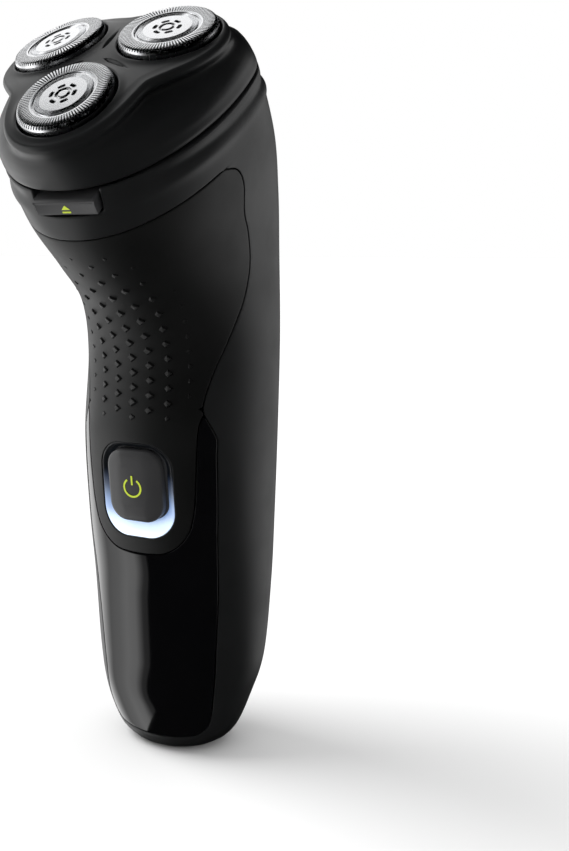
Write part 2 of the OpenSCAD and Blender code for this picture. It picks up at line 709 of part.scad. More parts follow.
module cutter(i) color("#a9adb1") in_cap(i) difference() {
    union() {
        translate([0, 0, -3.4]) cylinder(r = cap_d / 2 - 1.3, h = 0.8);
        translate([0, 0, -7.8]) cylinder(r = hub_r, h = 6);
        for (k = [0:blade_count - 1]) rotate([0, 0, 360 * k / blade_count]) translate([5.2, -0.3, -2.7])
            cube([cap_d / 2 - 6.6, 0.6, 1.6]);
    }
    translate([0, 0, -3]) cylinder(d = 1.2 + 2 * run_gap, h = 5);
    translate([0, 0, -8]) cylinder(r = 2.5, h = 8 + spindle_tip + 0.2 + cap_travel);
}

// ================= trimmer =================
module trimmer_bay() color("#1a1b1c") difference() {
    resize([0, 0, 0]) intersection() {
        difference() {
            bay_block(bay_wall - 0.1);
            bay_block(0);
        }
        hollow(0.6);
    }
    at_pivot() rotate([0, 90, 0]) cylinder(d = trimmer_pin_d, h = 60, center = true);
}
module trimmer_flap() color("#26282a") difference() {
    union() {
        resize([0, 0, 0]) difference() {
            intersection() {
                body_solid();
                translate([-trimmer_w / 2, pivot_y - 2, pivot_z]) cube([trimmer_w, 20, trimmer_h - 4]);
            }
            translate([-trimmer_w / 2 + 1.5, pivot_y - 3, pivot_z + 6])
                cube([trimmer_w - 3, 3.4, trimmer_h]);
        }
        at_pivot() rotate([0, 90, 0]) cylinder(r = pivot_r, h = trimmer_w, center = true);
    }
    at_pivot() rotate([0, 90, 0]) cylinder(d = trimmer_pin_d + 2 * run_gap, h = 60, center = true);
}
module trimmer_pin() color("#cfd1d4") at_pivot() rotate([0, 90, 0])
    cylinder(d = trimmer_pin_d, h = trimmer_w + 2 * (flap_gap + bay_wall) - 0.6, center = true);
tooth_count = 15;
comb_w = trimmer_w - 3.4;
module comb_plate(thick, height, tooth_h, teeth, w) {
    translate([-w / 2, 0, 0]) cube([w, thick, height]);
    for (k = [0:teeth - 1]) translate([-w / 2 + (k + 0.25) * w / teeth, 0, height - eps])
        cube([w / teeth * 0.5, thick, tooth_h]);
}
module trimmer_comb() color("#d5d7d9") translate([0, pivot_y - 1.2, pivot_z + trimmer_h - 9.5])
    comb_plate(0.7, 7, 2.2, tooth_count, comb_w);
module trimmer_blade() color("#bfc2c5") translate([0, pivot_y - 0.4, pivot_z + trimmer_h - 9.5])
    comb_plate(0.6, 7, 1.8, tooth_count, comb_w - 2.6);
module trimmer_slide() color("#303234") in_slide() {
    translate([-slide_w / 2, 0.5, 0]) cube([slide_w, 1.1, slide_h]);
    for (k = [0:2]) translate([-slide_w / 2 + 1, 1.6 - eps, 1.3 + k * 1.8]) cube([slide_w - 2, 0.5, 0.8]);
    translate([-slot_half + 0.3, -3, 0]) cube([2 * slot_half - 0.6, 3.5 + eps, slide_h - 1.6]);
}

rear_shell();
grip_panel();
front_panel();
collar();
neck_seal();
power_button();
light_ring();
button_seal();
tact_switch();
status_led();
circuit_board();
board_screws();
inner_frame();
battery();
battery_tabs();
inlet_socket();
contact_pins();
inlet_seal();
motor_can();
motor_rotor();
motor_pinion();
motor_screws();
gear_plate();
drive_deck();
spindle_seals();
spindle(0);  // spindle_front
spindle(1);  // spindle_right
spindle(2);  // spindle_left
spindle_gear(0);  // gear_front
spindle_gear(1);  // gear_right
spindle_gear(2);  // gear_left
release_button();
release_spring();
hinge_pin();
head_housing();
retaining_frame();
retaining_lock();
cap(0);  // cap_front
cap(1);  // cap_right
cap(2);  // cap_left
cutter(0);  // cutter_front
cutter(1);  // cutter_right
cutter(2);  // cutter_left
trimmer_bay();
trimmer_flap();
trimmer_pin();
trimmer_comb();
trimmer_blade();
trimmer_slide();
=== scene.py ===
"""A cordless rotary shaver: finished surfaces for its shells, head unit, caps, button and trimmer.

Pieces are modelled in millimetres in their own frame and then set in place in metres.
"""

import math

import bmesh
import bpy
import numpy as np
from mathutils import Matrix, Vector


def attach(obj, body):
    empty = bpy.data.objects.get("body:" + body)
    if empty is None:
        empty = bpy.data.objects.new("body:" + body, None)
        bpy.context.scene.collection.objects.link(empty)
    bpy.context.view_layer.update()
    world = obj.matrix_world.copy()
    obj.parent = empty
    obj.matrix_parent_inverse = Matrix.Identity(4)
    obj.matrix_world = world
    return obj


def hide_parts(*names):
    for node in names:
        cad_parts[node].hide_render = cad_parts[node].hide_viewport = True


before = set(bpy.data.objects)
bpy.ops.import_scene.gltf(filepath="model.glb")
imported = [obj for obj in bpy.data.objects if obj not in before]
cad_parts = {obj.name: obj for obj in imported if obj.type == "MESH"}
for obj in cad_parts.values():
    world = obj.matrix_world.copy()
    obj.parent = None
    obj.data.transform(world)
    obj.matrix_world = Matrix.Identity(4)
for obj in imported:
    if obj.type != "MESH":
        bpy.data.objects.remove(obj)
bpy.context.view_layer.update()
MM = 0.001

# ---------------------------------------------------------------------------
# Frames of the shaver, in millimetres
# ---------------------------------------------------------------------------
HEAD_LEAN = math.radians(38.2)
HEAD_Y, HEAD_Z = -34.9, 154.2
CAP_R = 9.9
CAP_RING = 25.2 / math.sqrt(3)
CAP_LEAN = math.radians(6.3)
CAP_ANGLES = {"front": -90, "right": 30, "left": 150}
BUTTON_LEAN = 8.1

HEAD = Matrix.Translation((0, HEAD_Y, HEAD_Z)) @ Matrix.Rotation(HEAD_LEAN, 4, "X")
BUTTON = Matrix.Translation((0, -20.55, 65)) @ Matrix.Rotation(math.radians(90 + BUTTON_LEAN), 4, "X")
SLIDE = Matrix.Translation((0, 20.75, 74)) @ Matrix.Rotation(-math.atan2(1.3, 22), 4, "X")


def cap_frame(side):
    """The frame of a cap: its rim lies on z = 0."""
    turn = Matrix.Rotation(math.radians(CAP_ANGLES[side]), 4, "Z")
    return HEAD @ turn @ Matrix.Translation((CAP_RING, 0, 0)) @ Matrix.Rotation(CAP_LEAN, 4, "Y")


def head_point(v, h):
    """(y, z) of a place up the head's slope and out along its axis."""
    return (HEAD_Y + v * math.cos(HEAD_LEAN) - h * math.sin(HEAD_LEAN),
            HEAD_Z + v * math.sin(HEAD_LEAN) + h * math.cos(HEAD_LEAN))


def through(matrix, points):
    """Points of shape (n, 3) taken through a 4 x 4 matrix."""
    m = np.array(matrix)
    return points @ m[:3, :3].T + m[:3, 3]


def head_level(points):
    """How far out along the head's axis each point lies."""
    return ((points[:, 1] - HEAD_Y) * -math.sin(HEAD_LEAN)
            + (points[:, 2] - HEAD_Z) * math.cos(HEAD_LEAN))


# ---------------------------------------------------------------------------
# The outer surface of the handle, neck and collar
# ---------------------------------------------------------------------------
HANDLE_W, NECK_W, COLLAR_W = 44, 41.8, 52.6
FOOT, HEEL_H, HEEL_POWER = 8, 12, 1.7


def heel_row(s):
    """A section of the rounded heel, from the foot (0) to the handle (1)."""
    out = (1 - (1 - s) ** HEEL_POWER) ** (1 / HEEL_POWER)
    return (-FOOT - 5.3 * out, HEEL_H * s, FOOT + 5.8 * out, HEEL_H * s,
            FOOT + (HANDLE_W / 2 - 4 - FOOT) * out, 0.5)


# Each section: front y and z, back y and z, half width, share of its depth before its widest line
SECTIONS = np.array([
    heel_row(0), heel_row(0.1), heel_row(0.35), heel_row(1),
    (-13.8, 22, 16.6, 22, HANDLE_W * 0.464, 0.52),
    (-16.1, 40, 18.7, 40, HANDLE_W * 0.487, 0.54),
    (-19.5, 56, 20.1, 58, HANDLE_W * 0.496, 0.55),
    (-21.8, 75, 21.1, 78, HANDLE_W / 2, 0.56),
    (-21.0, 92, 22.4, 100, (HANDLE_W + NECK_W) / 4, 0.57),
    (-26.0, 103.5, 23.0, 120, NECK_W / 2, 0.59),
    (*head_point(-26.6, -33.8), *head_point(30.6, -49.4), NECK_W / 2 + 1.2, 0.61),
    (*head_point(-28.4, -22.5), *head_point(30.8, -33.4), (NECK_W + COLLAR_W) / 4 + 1, 0.64),
    (*head_point(-26.4, -13.4), *head_point(26.2, -13.4), COLLAR_W / 2, 0.66),
    (*head_point(-25.6, -6.5), *head_point(25, -6.5), COLLAR_W / 2 - 0.8, 0.66)])
LAST = len(SECTIONS) - 1
FRONT_POWER, BACK_POWER = 2.1, 2.4


def spline(rows, u):
    """A smooth curve through the rows, read at places u."""
    last = len(rows) - 1
    i = np.clip(np.floor(u), 0, last - 1).astype(int)
    t = (u - i)[:, None]
    a, b, c, d = (rows[np.clip(i + k, 0, last)] for k in (-1, 0, 1, 2))
    return 0.5 * (2 * b + (c - a) * t + (2 * a - 5 * b + 4 * c - d) * t ** 2
                  + (3 * b - a - 3 * c + d) * t ** 3)


def arc(v, power):
    """A superellipse's coordinate."""
    return np.sign(v) * np.abs(v) ** (2 / power)


def body_surface(u, a):
    """Points of the body: u runs up its sections, a round it in radians from the front.
    Below u = 0 the surface closes over the foot."""
    close = np.clip(1 + u, 0, 1)[:, None]
    s = spline(SECTIONS, np.clip(u, 0, LAST))
    front, back, half, share = s[:, 0:2], s[:, 2:4], s[:, 4], s[:, 5]
    depth = np.linalg.norm(back - front, axis=1)
    ahead = np.cos(a) > 0
    power = np.where(ahead, FRONT_POWER, BACK_POWER)
    reach = np.where(ahead, share, 1 - share) * depth
    w = share * depth - reach * arc(np.cos(a), power)
    yz = front + (back - front) * (w / depth)[:, None]
    points = np.column_stack([half * arc(np.sin(a), power), yz])
    return np.where((u < 0)[:, None], points * close, points)


def smooth_line(points, steps=8):
    """A smooth run of points through a few given ones."""
    rows = np.array(points, float)
    return spline(rows, np.linspace(0, len(rows) - 1, (len(rows) - 1) * steps + 1))


def inside_by(points, outline):
    """How far each point (n, 2) lies inside a closed outline; negative outside."""
    best = np.full(len(points), 1e9)
    inside = np.zeros(len(points), bool)
    for p, q in zip(outline, np.roll(outline, -1, axis=0)):
        edge = q - p
        t = np.clip(((points - p) @ edge) / max(edge @ edge, 1e-12), 0, 1)
        best = np.minimum(best, np.linalg.norm(points - p - t[:, None] * edge, axis=1))
        level = (p[1] > points[:, 1]) != (q[1] > points[:, 1])
        with np.errstate(divide="ignore", invalid="ignore"):
            cross = p[0] + edge[0] * (points[:, 1] - p[1]) / edge[1]
        inside ^= level & (points[:, 0] < cross)
    return np.where(inside, best, -best)


def inside_rounded(x, y, w, h, r):
    """How far a point lies inside a rounded rectangle."""
    qx, qy = np.abs(x) - w / 2 + r, np.abs(y) - h / 2 + r
    out = np.hypot(np.maximum(qx, 0), np.maximum(qy, 0)) + np.minimum(np.maximum(qx, qy), 0) - r
    return -out


# ---------------------------------------------------------------------------
# Seams between the skins
# ---------------------------------------------------------------------------
COLLAR_TOP, COLLAR_BOTTOM = -13.7, -23.4
SEAM_GAP = 0.16
NOWHERE = -9.0  # a zone's value where it can't reach

# Seen from the side (y, z): from the tip of the gloss panel's horn up to the collar
SIDE_SEAM = np.vstack([smooth_line([
    (-12.6, 70), (-13.0, 74), (-14.2, 77.6), (-15.3, 80.4), (-15.9, 82.6), (-15.5, 85.2), (-14, 89.8),
    (-12.4, 94), (-9.5, 100.9), (-7.2, 106), (-6.1, 111), (-6.6, 115.4), (-9.4, 120.5),
    head_point(-1.2, -37), head_point(-0.6, -30.5), head_point(-2.2, -26.2), head_point(-5.5, -23.8),
    head_point(-9, -22), head_point(-13, -20)]),
    [head_point(-80, -20), (-90, -20), (6, -20), (6, 60), (-9, 66)]])
# Seen from the front (x, z): the outer edge of the gloss panel
PANEL_EDGE = [(60, 95), (24, 86), (17.6, 79), (16.9, 75), (16.8, 66), (16.6, 58), (15.8, 39), (15.2, 30),
              (14.6, 20), (13.7, 11.5), (12.6, 7.6), (11.1, 5.7), (9, 4.7), (3.2, 4.1), (0, 4.05)]
PANEL_OUTLINE = smooth_line(PANEL_EDGE, 6)
PANEL_OUTLINE = np.vstack([PANEL_OUTLINE, PANEL_OUTLINE[-2::-1] * (-1, 1), [(-60, 300), (60, 300)]])
# The grip's tongue round the button
TONGUE_EDGE = [(60, 93), (17.5, 84.4), (15, 82.6), (14, 80.6), (13.6, 77), (13.3, 70), (12.9, 63),
               (12.3, 58.8), (11.2, 55.3), (9, 52.4), (6.1, 50.6), (3, 50.1), (0, 50)]
TONGUE_OUTLINE = smooth_line(TONGUE_EDGE, 6)
TONGUE_OUTLINE = np.vstack([TONGUE_OUTLINE, TONGUE_OUTLINE[-2::-1] * (-1, 1), [(-60, 300), (60, 300)]])
POCKET_W, POCKET_H, POCKET_R, POCKET_UP = 17.8, 21.8, 6.2, -0.35
BUTTON_W, BUTTON_H, BUTTON_UP = 13.3, 16.4, 0.75


def in_front(p):
    """Inside the grip and panel zone."""
    side = inside_by(p[:, 1:3], SIDE_SEAM)
    front = inside_by(p[:, [0, 2]], PANEL_OUTLINE)
    return np.where(p[:, 1] < 12, np.minimum(side, front), NOWHERE)


def in_tongue(p):
    return inside_by(p[:, [0, 2]], TONGUE_OUTLINE)


def in_pocket(p):
    local = through(BUTTON.inverted(), p)
    inside = inside_rounded(local[:, 0], local[:, 1] - POCKET_UP, POCKET_W, POCKET_H, POCKET_R)
    return np.where(p[:, 1] < 0, inside, NOWHERE)


def below_collar(p):
    return COLLAR_BOTTOM - head_level(p)


def in_box(p, centre, size, r, behind):
    """Inside a rounded opening in the back, seen from behind."""
    inside = inside_rounded(p[:, 0] - centre[0], p[:, 2] - centre[1], size[0], size[1], r)
    return np.where(p[:, 1] > behind, inside, NOWHERE)


INLET_W, INLET_D, INLET_Y = 11, 5.2, 4.4
PIVOT_Y, PIVOT_Z = 18.4, 90
TRIMMER_W, TRIMMER_H, FLAP_H = 24, 30, 26
BAY_LOW, BAY_HIGH = PIVOT_Z - 3.75, PIVOT_Z + TRIMMER_H + 0.75


def grip_zone(p):
    return np.minimum.reduce([in_front(p) - SEAM_GAP / 2, in_tongue(p), below_collar(p) - 0.06,
                              -in_pocket(p)])


def panel_zone(p):
    return np.minimum(in_front(p) - SEAM_GAP / 2, -in_tongue(p) - SEAM_GAP)


def shell_edges(p):
    """The rear shell's zone without its line to the collar, which is flush with it."""
    inlet = np.where(p[:, 2] < 3,
                     inside_rounded(p[:, 0], p[:, 1] - INLET_Y, INLET_W + 0.2, INLET_D + 0.2, 2.3), NOWHERE)
    bay = in_box(p, (0, (BAY_LOW + BAY_HIGH) / 2), (TRIMMER_W + 0.9, BAY_HIGH - BAY_LOW), 1.6, 5)
    slot = in_box(p, (0, 79), (6.4, 12), 3.1, 5)
    return np.minimum.reduce([-in_front(p) - SEAM_GAP / 2, -inlet, -bay, -slot])


def shell_zone(p):
    return np.minimum(shell_edges(p), below_collar(p) - 0.004)


SLOT_W, SLOT_LOW, SLOT_HIGH = 15, -18.2, -11


def collar_zone(p):
    h = head_level(p)
    slot = inside_rounded(p[:, 0], h - (SLOT_LOW + SLOT_HIGH) / 2, SLOT_W, SLOT_HIGH - SLOT_LOW, 0.9)
    slot = np.where(p[:, 1] < -30, slot, NOWHERE)
    return np.minimum.reduce([COLLAR_TOP - h, h - COLLAR_BOTTOM - 0.004, -slot])


def collar_edges(p):
    """The collar's rolled edges: its lower one is flush with the rear shell and rolled along the grip."""
    flush = 9 * np.clip(0.5 - in_front(p) / 0.8, 0, 1)
    h = head_level(p)
    return np.minimum(np.maximum(collar_zone(p), 0) + np.where(h < -20, flush, 0), 9)


def flap_zone(p):
    return np.where(p[:, 1] > 5, inside_rounded(p[:, 0], p[:, 2] - (PIVOT_Z + FLAP_H / 2 + 0.6), TRIMMER_W,
                                                FLAP_H - 1.2, 1.2), NOWHERE)


# ---------------------------------------------------------------------------
# Skins: sheets of the surface, cut along their seams, with rolled edges and a wall
# ---------------------------------------------------------------------------
def cut_sheet(params, values, faces, level, where, field):
    """Splits every face along the line where the field equals level."""
    above = values >= level
    mixed = [k for k, f in enumerate(faces) if 0 < sum(above[i] for i in f) < len(f)]
    if not mixed:
        return params, values, faces
    edges = sorted({(min(a, b), max(a, b)) for k in mixed
                    for a, b in zip(faces[k], faces[k][1:] + faces[k][:1]) if above[a] != above[b]})
    ends = np.array(edges)
    low, high = np.zeros(len(ends)), np.ones(len(ends))
    f_low, f_high = values[ends[:, 0]] - level, values[ends[:, 1]] - level
    for _ in range(3):
        t = low + (high - low) * f_low / (f_low - f_high)
        at = params[ends[:, 0]] * (1 - t[:, None]) + params[ends[:, 1]] * t[:, None]
        f = field(where(at)) - level
        same = (f >= 0) == (f_low >= 0)
        low, f_low = np.where(same, t, low), np.where(same, f, f_low)
        high, f_high = np.where(same, high, t), np.where(same, f_high, f)
        f_low = np.where(f_low == f_high, f_low - 1e-12, f_low)
    new = {edge: len(params) + k for k, edge in enumerate(edges)}
    params = np.vstack([params, at])
    values = np.concatenate([values, np.full(len(edges), level)])
    split = set(mixed)
    kept = [f for k, f in enumerate(faces) if k not in split]
    for k in mixed:
        over, under = [], []
        face = faces[k]
        for a, b in zip(face, face[1:] + face[:1]):
            (over if above[a] else under).append(a)
            if above[a] != above[b]:
                mid = new[(min(a, b), max(a, b))]
                over.append(mid)
                under.append(mid)
        kept += [over, under]
    return params, values, kept


def grid(us, angles):
    """Parameters and faces of a sheet."""
    params = np.array([(u, a) for u in us for a in angles])
    n = len(angles)
    faces = [[i * n + j, i * n + j + 1, (i + 1) * n + j + 1, (i + 1) * n + j]
             for i in range(len(us) - 1) for j in range(n - 1)]
    return params, faces


def outward(where, params, e=2e-3):
    """Unit normals of a surface at its parameters."""
    du = where(params + (e, 0)) - where(params - (e, 0))
    da = where(params + (0, e)) - where(params - (0, e))
    n = np.cross(da, du)
    size = np.linalg.norm(n, axis=1)[:, None]
    return n / np.maximum(size, 1e-12)


ROLL_STEPS = (1, 0.617, 0.293, 0.076, 0)


def skin(name, us, angles, field, where, roll=0.3, wall=2.0, relief=None, flip=False, rolled=None):
    """A moulded skin: the part of a surface where the field is above 0, with a wall behind it.
    Its edges are rolled, or only those of a second field where that is given."""
    params, faces = grid(us, angles)
    values = field(where(params))
    for level in (roll * s for s in ROLL_STEPS):
        params, values, faces = cut_sheet(params, values, faces, level, where, field)
    tiny = 1e-9
    faces = [f for f in faces if min(values[i] for i in f) >= -tiny]
    used = sorted({i for f in faces for i in f})
    index = {k: i for i, k in enumerate(used)}
    faces = [[index[i] for i in f] for f in faces]
    params, values = params[used], values[used]
    base = where(params)
    _, first, same = np.unique(np.round(base, 4), axis=0, return_index=True, return_inverse=True)
    params, values, base, same = params[first], values[first], base[first], same.ravel()
    faces = [[int(same[i]) for i in f] for f in faces]
    faces = [[i for k, i in enumerate(f) if i != f[k - 1]] for f in faces]
    faces = [f for f in faces if len(set(f)) > 2]
    normal = outward(where, params) * (-1 if flip else 1)
    # a pole takes its normal from the points round it
    poles = set(np.flatnonzero(np.linalg.norm(normal, axis=1) < 0.5).tolist())
    for pole in poles:
        ring = [i for f in faces if pole in f for i in f if i not in poles]
        mean = normal[ring].sum(axis=0)
        normal[pole] = mean / max(np.linalg.norm(mean), 1e-9)
    f = np.clip(values if rolled is None else rolled(base), 0, roll)
    drop = roll - np.sqrt(np.maximum(roll ** 2 - (roll - f) ** 2, 0))
    lift = relief(base) if relief is not None else 0
    outer = base + normal * (lift - drop)[:, None]
    inner = base - normal * wall
    count = len(outer)
    seen = {}
    for face in faces:
        for a, b in zip(face, face[1:] + face[:1]):
            seen[(a, b)] = seen.get((a, b), 0) + 1
    rim = [[b, a, a + count, b + count] for (a, b) in seen if (b, a) not in seen]
    behind = [[i + count for i in reversed(f)] for f in faces]
    piece = from_points(name, (np.vstack([outer, inner]) * MM).tolist(), faces + behind + rim)
    work = bmesh.new()
    work.from_mesh(piece.data)
    bmesh.ops.remove_doubles(work, verts=work.verts, dist=2e-6)
    bmesh.ops.dissolve_degenerate(work, edges=work.edges, dist=1e-6)
    bmesh.ops.recalc_face_normals(work, faces=work.faces)
    work.to_mesh(piece.data)
    work.free()
    return piece


def on_body(params):
    return body_surface(params[:, 0], params[:, 1])


def spaced(low, high, step):
    """Places up the body that lie about one step apart on its surface."""
    u = np.linspace(low, high, 900)
    s = spline(SECTIONS, np.clip(u, 0, LAST))
    run = np.maximum(np.linalg.norm(np.diff(s[:, 0:2], axis=0), axis=1),
                     np.linalg.norm(np.diff(s[:, 2:4], axis=0), axis=1))
    run = np.concatenate([[0], np.cumsum(run)])
    return np.interp(np.linspace(0, run[-1], max(2, int(run[-1] / step))), run, u)


def land(matrix, targets):
    """The body's points and normals that a frame's local z axis meets at the given (x, y) places."""
    into = matrix.inverted()
    targets = np.asarray(targets, float)
    coarse, _ = grid(np.linspace(2, LAST - 1, 90), np.linspace(-1.7, 1.7, 70))
    flat = through(into, on_body(coarse))
    near = [np.argmin(((flat[:, :2] - t) ** 2).sum(1) + 1e-3 * (flat[:, 2] < -15)) for t in targets]
    params = coarse[near].copy()
    e = 1e-4
    for _ in range(8):
        here = through(into, on_body(params))[:, :2]
        ju = (through(into, on_body(params + (e, 0)))[:, :2] - here) / e
        ja = (through(into, on_body(params + (0, e)))[:, :2] - here) / e
        miss = targets - here
        det = ju[:, 0] * ja[:, 1] - ju[:, 1] * ja[:, 0]
        params += np.column_stack([(miss[:, 0] * ja[:, 1] - miss[:, 1] * ja[:, 0]) / det,
                                   (ju[:, 0] * miss[:, 1] - ju[:, 1] * miss[:, 0]) / det])
    return on_body(params), outward(on_body, params)


FACING = Matrix.Rotation(math.radians(90), 4, "X")

# ---------------------------------------------------------------------------
# Materials
# ---------------------------------------------------------------------------


def colour(code):
    """An sRGB hex colour as the linear one that shaders take."""
    parts = [int(code[i:i + 2], 16) / 255 for i in (1, 3, 5)]
    return [p / 12.92 if p <= 0.04045 else ((p + 0.055) / 1.055) ** 2.4 for p in parts] + [1]


def put(tree, kind, settings=None, inputs=None, **links):
    """Adds a node with its settings, its input values and the links into it."""
    node = tree.nodes.new(kind)
    for key, value in (settings or {}).items():
        setattr(node, key, value)
    for key, value in (inputs or {}).items():
        node.inputs[key].default_value = value
    for key, source in links.items():
        tree.links.new(source, node.inputs[key.replace("_", " ")])
    return node


def start_material(name, **inputs):
    """A material with its shader, and the object's own coordinates to draw patterns on."""
    made = bpy.data.materials.new(name)
    made.use_nodes = True
    tree = made.node_tree
    tree.nodes.clear()
    shader = put(tree, "ShaderNodeBsdfPrincipled", inputs=inputs)
    put(tree, "ShaderNodeOutputMaterial", Surface=shader.outputs["BSDF"])
    places = put(tree, "ShaderNodeTexCoord").outputs["Object"]
    return made, tree, shader, places


def per_mm(size):
    """A noise scale whose features are about this many millimetres across."""
    return 1 / (size * MM)


def ramp(tree, factor, stops, ease="EASE"):
    """A colour ramp through (place, colour) stops."""
    node = put(tree, "ShaderNodeValToRGB", Fac=factor)
    node.color_ramp.interpolation = ease
    while len(node.color_ramp.elements) < len(stops):
        node.color_ramp.elements.new(0.5)
    for element, (place, shade) in zip(node.color_ramp.elements, stops):
        element.position = place
        element.color = shade
    return node.outputs["Color"]


def grey(v):
    """A linear grey for a ramp."""
    return (v, v, v, 1)


def noise(tree, places, scale, **inputs):
    return put(tree, "ShaderNodeTexNoise", inputs={"Scale": scale, **inputs}, Vector=places).outputs["Fac"]


def look(tree, shader, tint, gloss, height=None, strength=0, depth=0):
    """Links a colour, a roughness and a bump, so many millimetres deep, into the shader."""
    tree.links.new(tint, shader.inputs["Base Color"])
    tree.links.new(gloss, shader.inputs["Roughness"])
    if height is not None:
        bump = put(tree, "ShaderNodeBump", inputs={"Strength": strength, "Distance": depth * MM},
                   Height=height)
        tree.links.new(bump.outputs["Normal"], shader.inputs["Normal"])


def moulded(name, shade, worn, rough, grain, depth, **inputs):
    """A moulded plastic or rubber with a fine grain, small changes of gloss and faint handling marks."""
    made, tree, shader, places = start_material(name, **inputs)
    fine = noise(tree, places, per_mm(grain), Detail=3, Roughness=0.6)
    broad = noise(tree, places, per_mm(14), Detail=4, Roughness=0.55)
    look(tree, shader, ramp(tree, broad, [(0.3, colour(shade)), (0.75, colour(worn))]),
         ramp(tree, broad, [(0.25, grey(rough - 0.05)), (0.8, grey(rough + 0.05))]), fine, 0.6, depth)
    return made


# Spark-textured ABS: near black, even and matte, and a wide soft sheen shows its curves
SHELL_ABS = moulded("moulded_abs_charcoal_matte", "#131415", "#161718", 0.46, 0.22, 0.012, IOR=1.5)
# The head unit's ABS: the same black with a slightly closer sheen on its rounded lips
HEAD_ABS = moulded("moulded_abs_charcoal_satin", "#111213", "#141516", 0.42, 0.2, 0.008, IOR=1.46)
# Soft-touch elastomer: dark, dry and slightly dusty at a low angle
GRIP_TPE = moulded("overmoulded_tpe_soft_black", "#0b0c0c", "#0e0f0f", 0.56, 0.3, 0.012, IOR=1.52)
# Button ABS: a little lighter and finer than the shell
BUTTON_ABS = moulded("moulded_abs_button_grey", "#2b2b2c", "#303031", 0.38, 0.16, 0.006, IOR=1.5)
# Silicone: darker grey, dull
SILICONE = moulded("moulded_silicone_dark_grey", "#38393b", "#3e3f41", 0.6, 0.3, 0.01, IOR=1.41)
# Glass-filled nylon of the inner frames: dull mid grey with faint flow marks
NYLON = moulded("moulded_nylon_glass_filled", "#3a3b3d", "#434447", 0.5, 0.5, 0.02, IOR=1.53)
# Natural acetal gears: ivory, waxy
ACETAL = moulded("machined_acetal_natural", "#dcd6c2", "#e6e1d0", 0.35, 0.6, 0.008, IOR=1.48)
# Shrink sleeve on the cell: glossy blue film with a slight ripple
SLEEVE = moulded("pvc_shrink_sleeve_blue", "#1d4f8f", "#22589c", 0.22, 1.5, 0.03, IOR=1.54)
# Solder mask: deep green lacquer over copper
BOARD = moulded("epoxy_board_solder_mask", "#0e4a25", "#13572d", 0.25, 0.4, 0.01, IOR=1.55)
# Clear epoxy lamp
LAMP = moulded("clear_epoxy_lamp", "#ece9cf", "#f4f1dc", 0.12, 0.8, 0.004, IOR=1.55)
# Pad-printed ink of the two symbols: bright lime, slightly raised and satin
LIME_INK = moulded("pad_print_ink_lime", "#b4c52c", "#bfd033", 0.45, 0.12, 0.004, IOR=1.5)


def gloss_black():
    """Polished acrylic: black glass with the faintest waviness, hairline marks and no grain."""
    made, tree, shader, places = start_material("polished_acrylic_piano_black", IOR=1.49)
    wave = noise(tree, places, per_mm(9), Detail=2)
    marks = noise(tree, places, per_mm(0.5), Detail=6, Roughness=0.7)
    look(tree, shader, ramp(tree, wave, [(0, colour("#050506")), (1, colour("#070708"))]),
         ramp(tree, marks, [(0.4, grey(0.07)), (0.85, grey(0.12))]), wave, 0.25, 0.01)
    return made


def metal(name, shade, tarnish, rough, grain, depth, stretch=(1, 1, 1)):
    """A plain metal part: drawn, turned or plated, with fine marks along its making."""
    made, tree, shader, places = start_material(name, Metallic=1.0)
    shift = put(tree, "ShaderNodeMapping", inputs={"Scale": stretch}, Vector=places).outputs["Vector"]
    marks = noise(tree, shift, per_mm(grain), Detail=5, Roughness=0.6)
    look(tree, shader, ramp(tree, marks, [(0.3, colour(shade)), (0.8, colour(tarnish))]),
         ramp(tree, marks, [(0.2, grey(rough - 0.05)), (0.8, grey(rough + 0.07))]), marks, 0.4, depth)
    return made


def ground_steel():
    """Etched stainless caps: rings of the grinding, about 0.4 mm apart, show round the middle.
    The UV map holds radius in millimetres and turn."""
    made, tree, shader, _ = start_material("ground_stainless_cap", Metallic=1.0)
    radius = put(tree, "ShaderNodeUVMap", {"uv_map": "lathe"}).outputs["UV"]
    rings = put(tree, "ShaderNodeTexWave", {"wave_type": "BANDS", "bands_direction": "X"},
                {"Scale": 0.8, "Distortion": 0.1, "Detail": 1, "Detail Scale": 2},
                Vector=radius).outputs["Fac"]
    flecks = noise(tree, radius, 3.0, Detail=5, Roughness=0.7)
    look(tree, shader, ramp(tree, flecks, [(0.3, colour("#e2e3e5")), (0.8, colour("#ebecee"))]),
         ramp(tree, flecks, [(0.2, grey(0.25)), (0.85, grey(0.3))]), rings, 0.3, 0.015)
    return made


def lit_guide():
    """Frosted light guide: pale blue-white at the bottom of the pocket, dark at its top."""
    made, tree, shader, places = start_material("frosted_polycarbonate_light_guide", IOR=1.58)
    up = put(tree, "ShaderNodeSeparateXYZ", Vector=places).outputs["Z"]
    low, high = 0.0535, 0.0755
    height = put(tree, "ShaderNodeMapRange", inputs={"From Min": low, "From Max": high},
                 Value=up).outputs["Result"]
    haze = noise(tree, places, per_mm(1.2), Detail=3)
    glow = ramp(tree, height, [(0.0, colour("#dbe6f5")), (0.14, colour("#b4cbeb")), (0.3, colour("#5f82b8")),
                               (0.55, colour("#1d2b45")), (0.72, colour("#05070a"))])
    look(tree, shader, ramp(tree, height, [(0.1, colour("#c3cfdf")), (0.7, colour("#0b0c0e"))]),
         ramp(tree, haze, [(0.2, grey(0.35)), (0.8, grey(0.45))]))
    tree.links.new(glow, shader.inputs["Emission Color"])
    shader.inputs["Emission Strength"].default_value = 0.85
    return made


PANEL_ACRYLIC = gloss_black()
CAP_STEEL = ground_steel()
GUIDE_PC = lit_guide()
# Inner ring of a cap: painted shade, a black sheet under the slots that stands in for the shade inside them,
# so that the slots above it look deep
CAP_SHADE_BLACK = metal("painted_shade_black_steel", "#17171a", "#1f1f22", 0.5, 0.6, 0.006)
# Turned steel of screws, pins and spindles: bright, with fine marks
PLAIN_STEEL = metal("turned_steel_bright", "#b9babd", "#a6a8ab", 0.28, 0.4, 0.006)
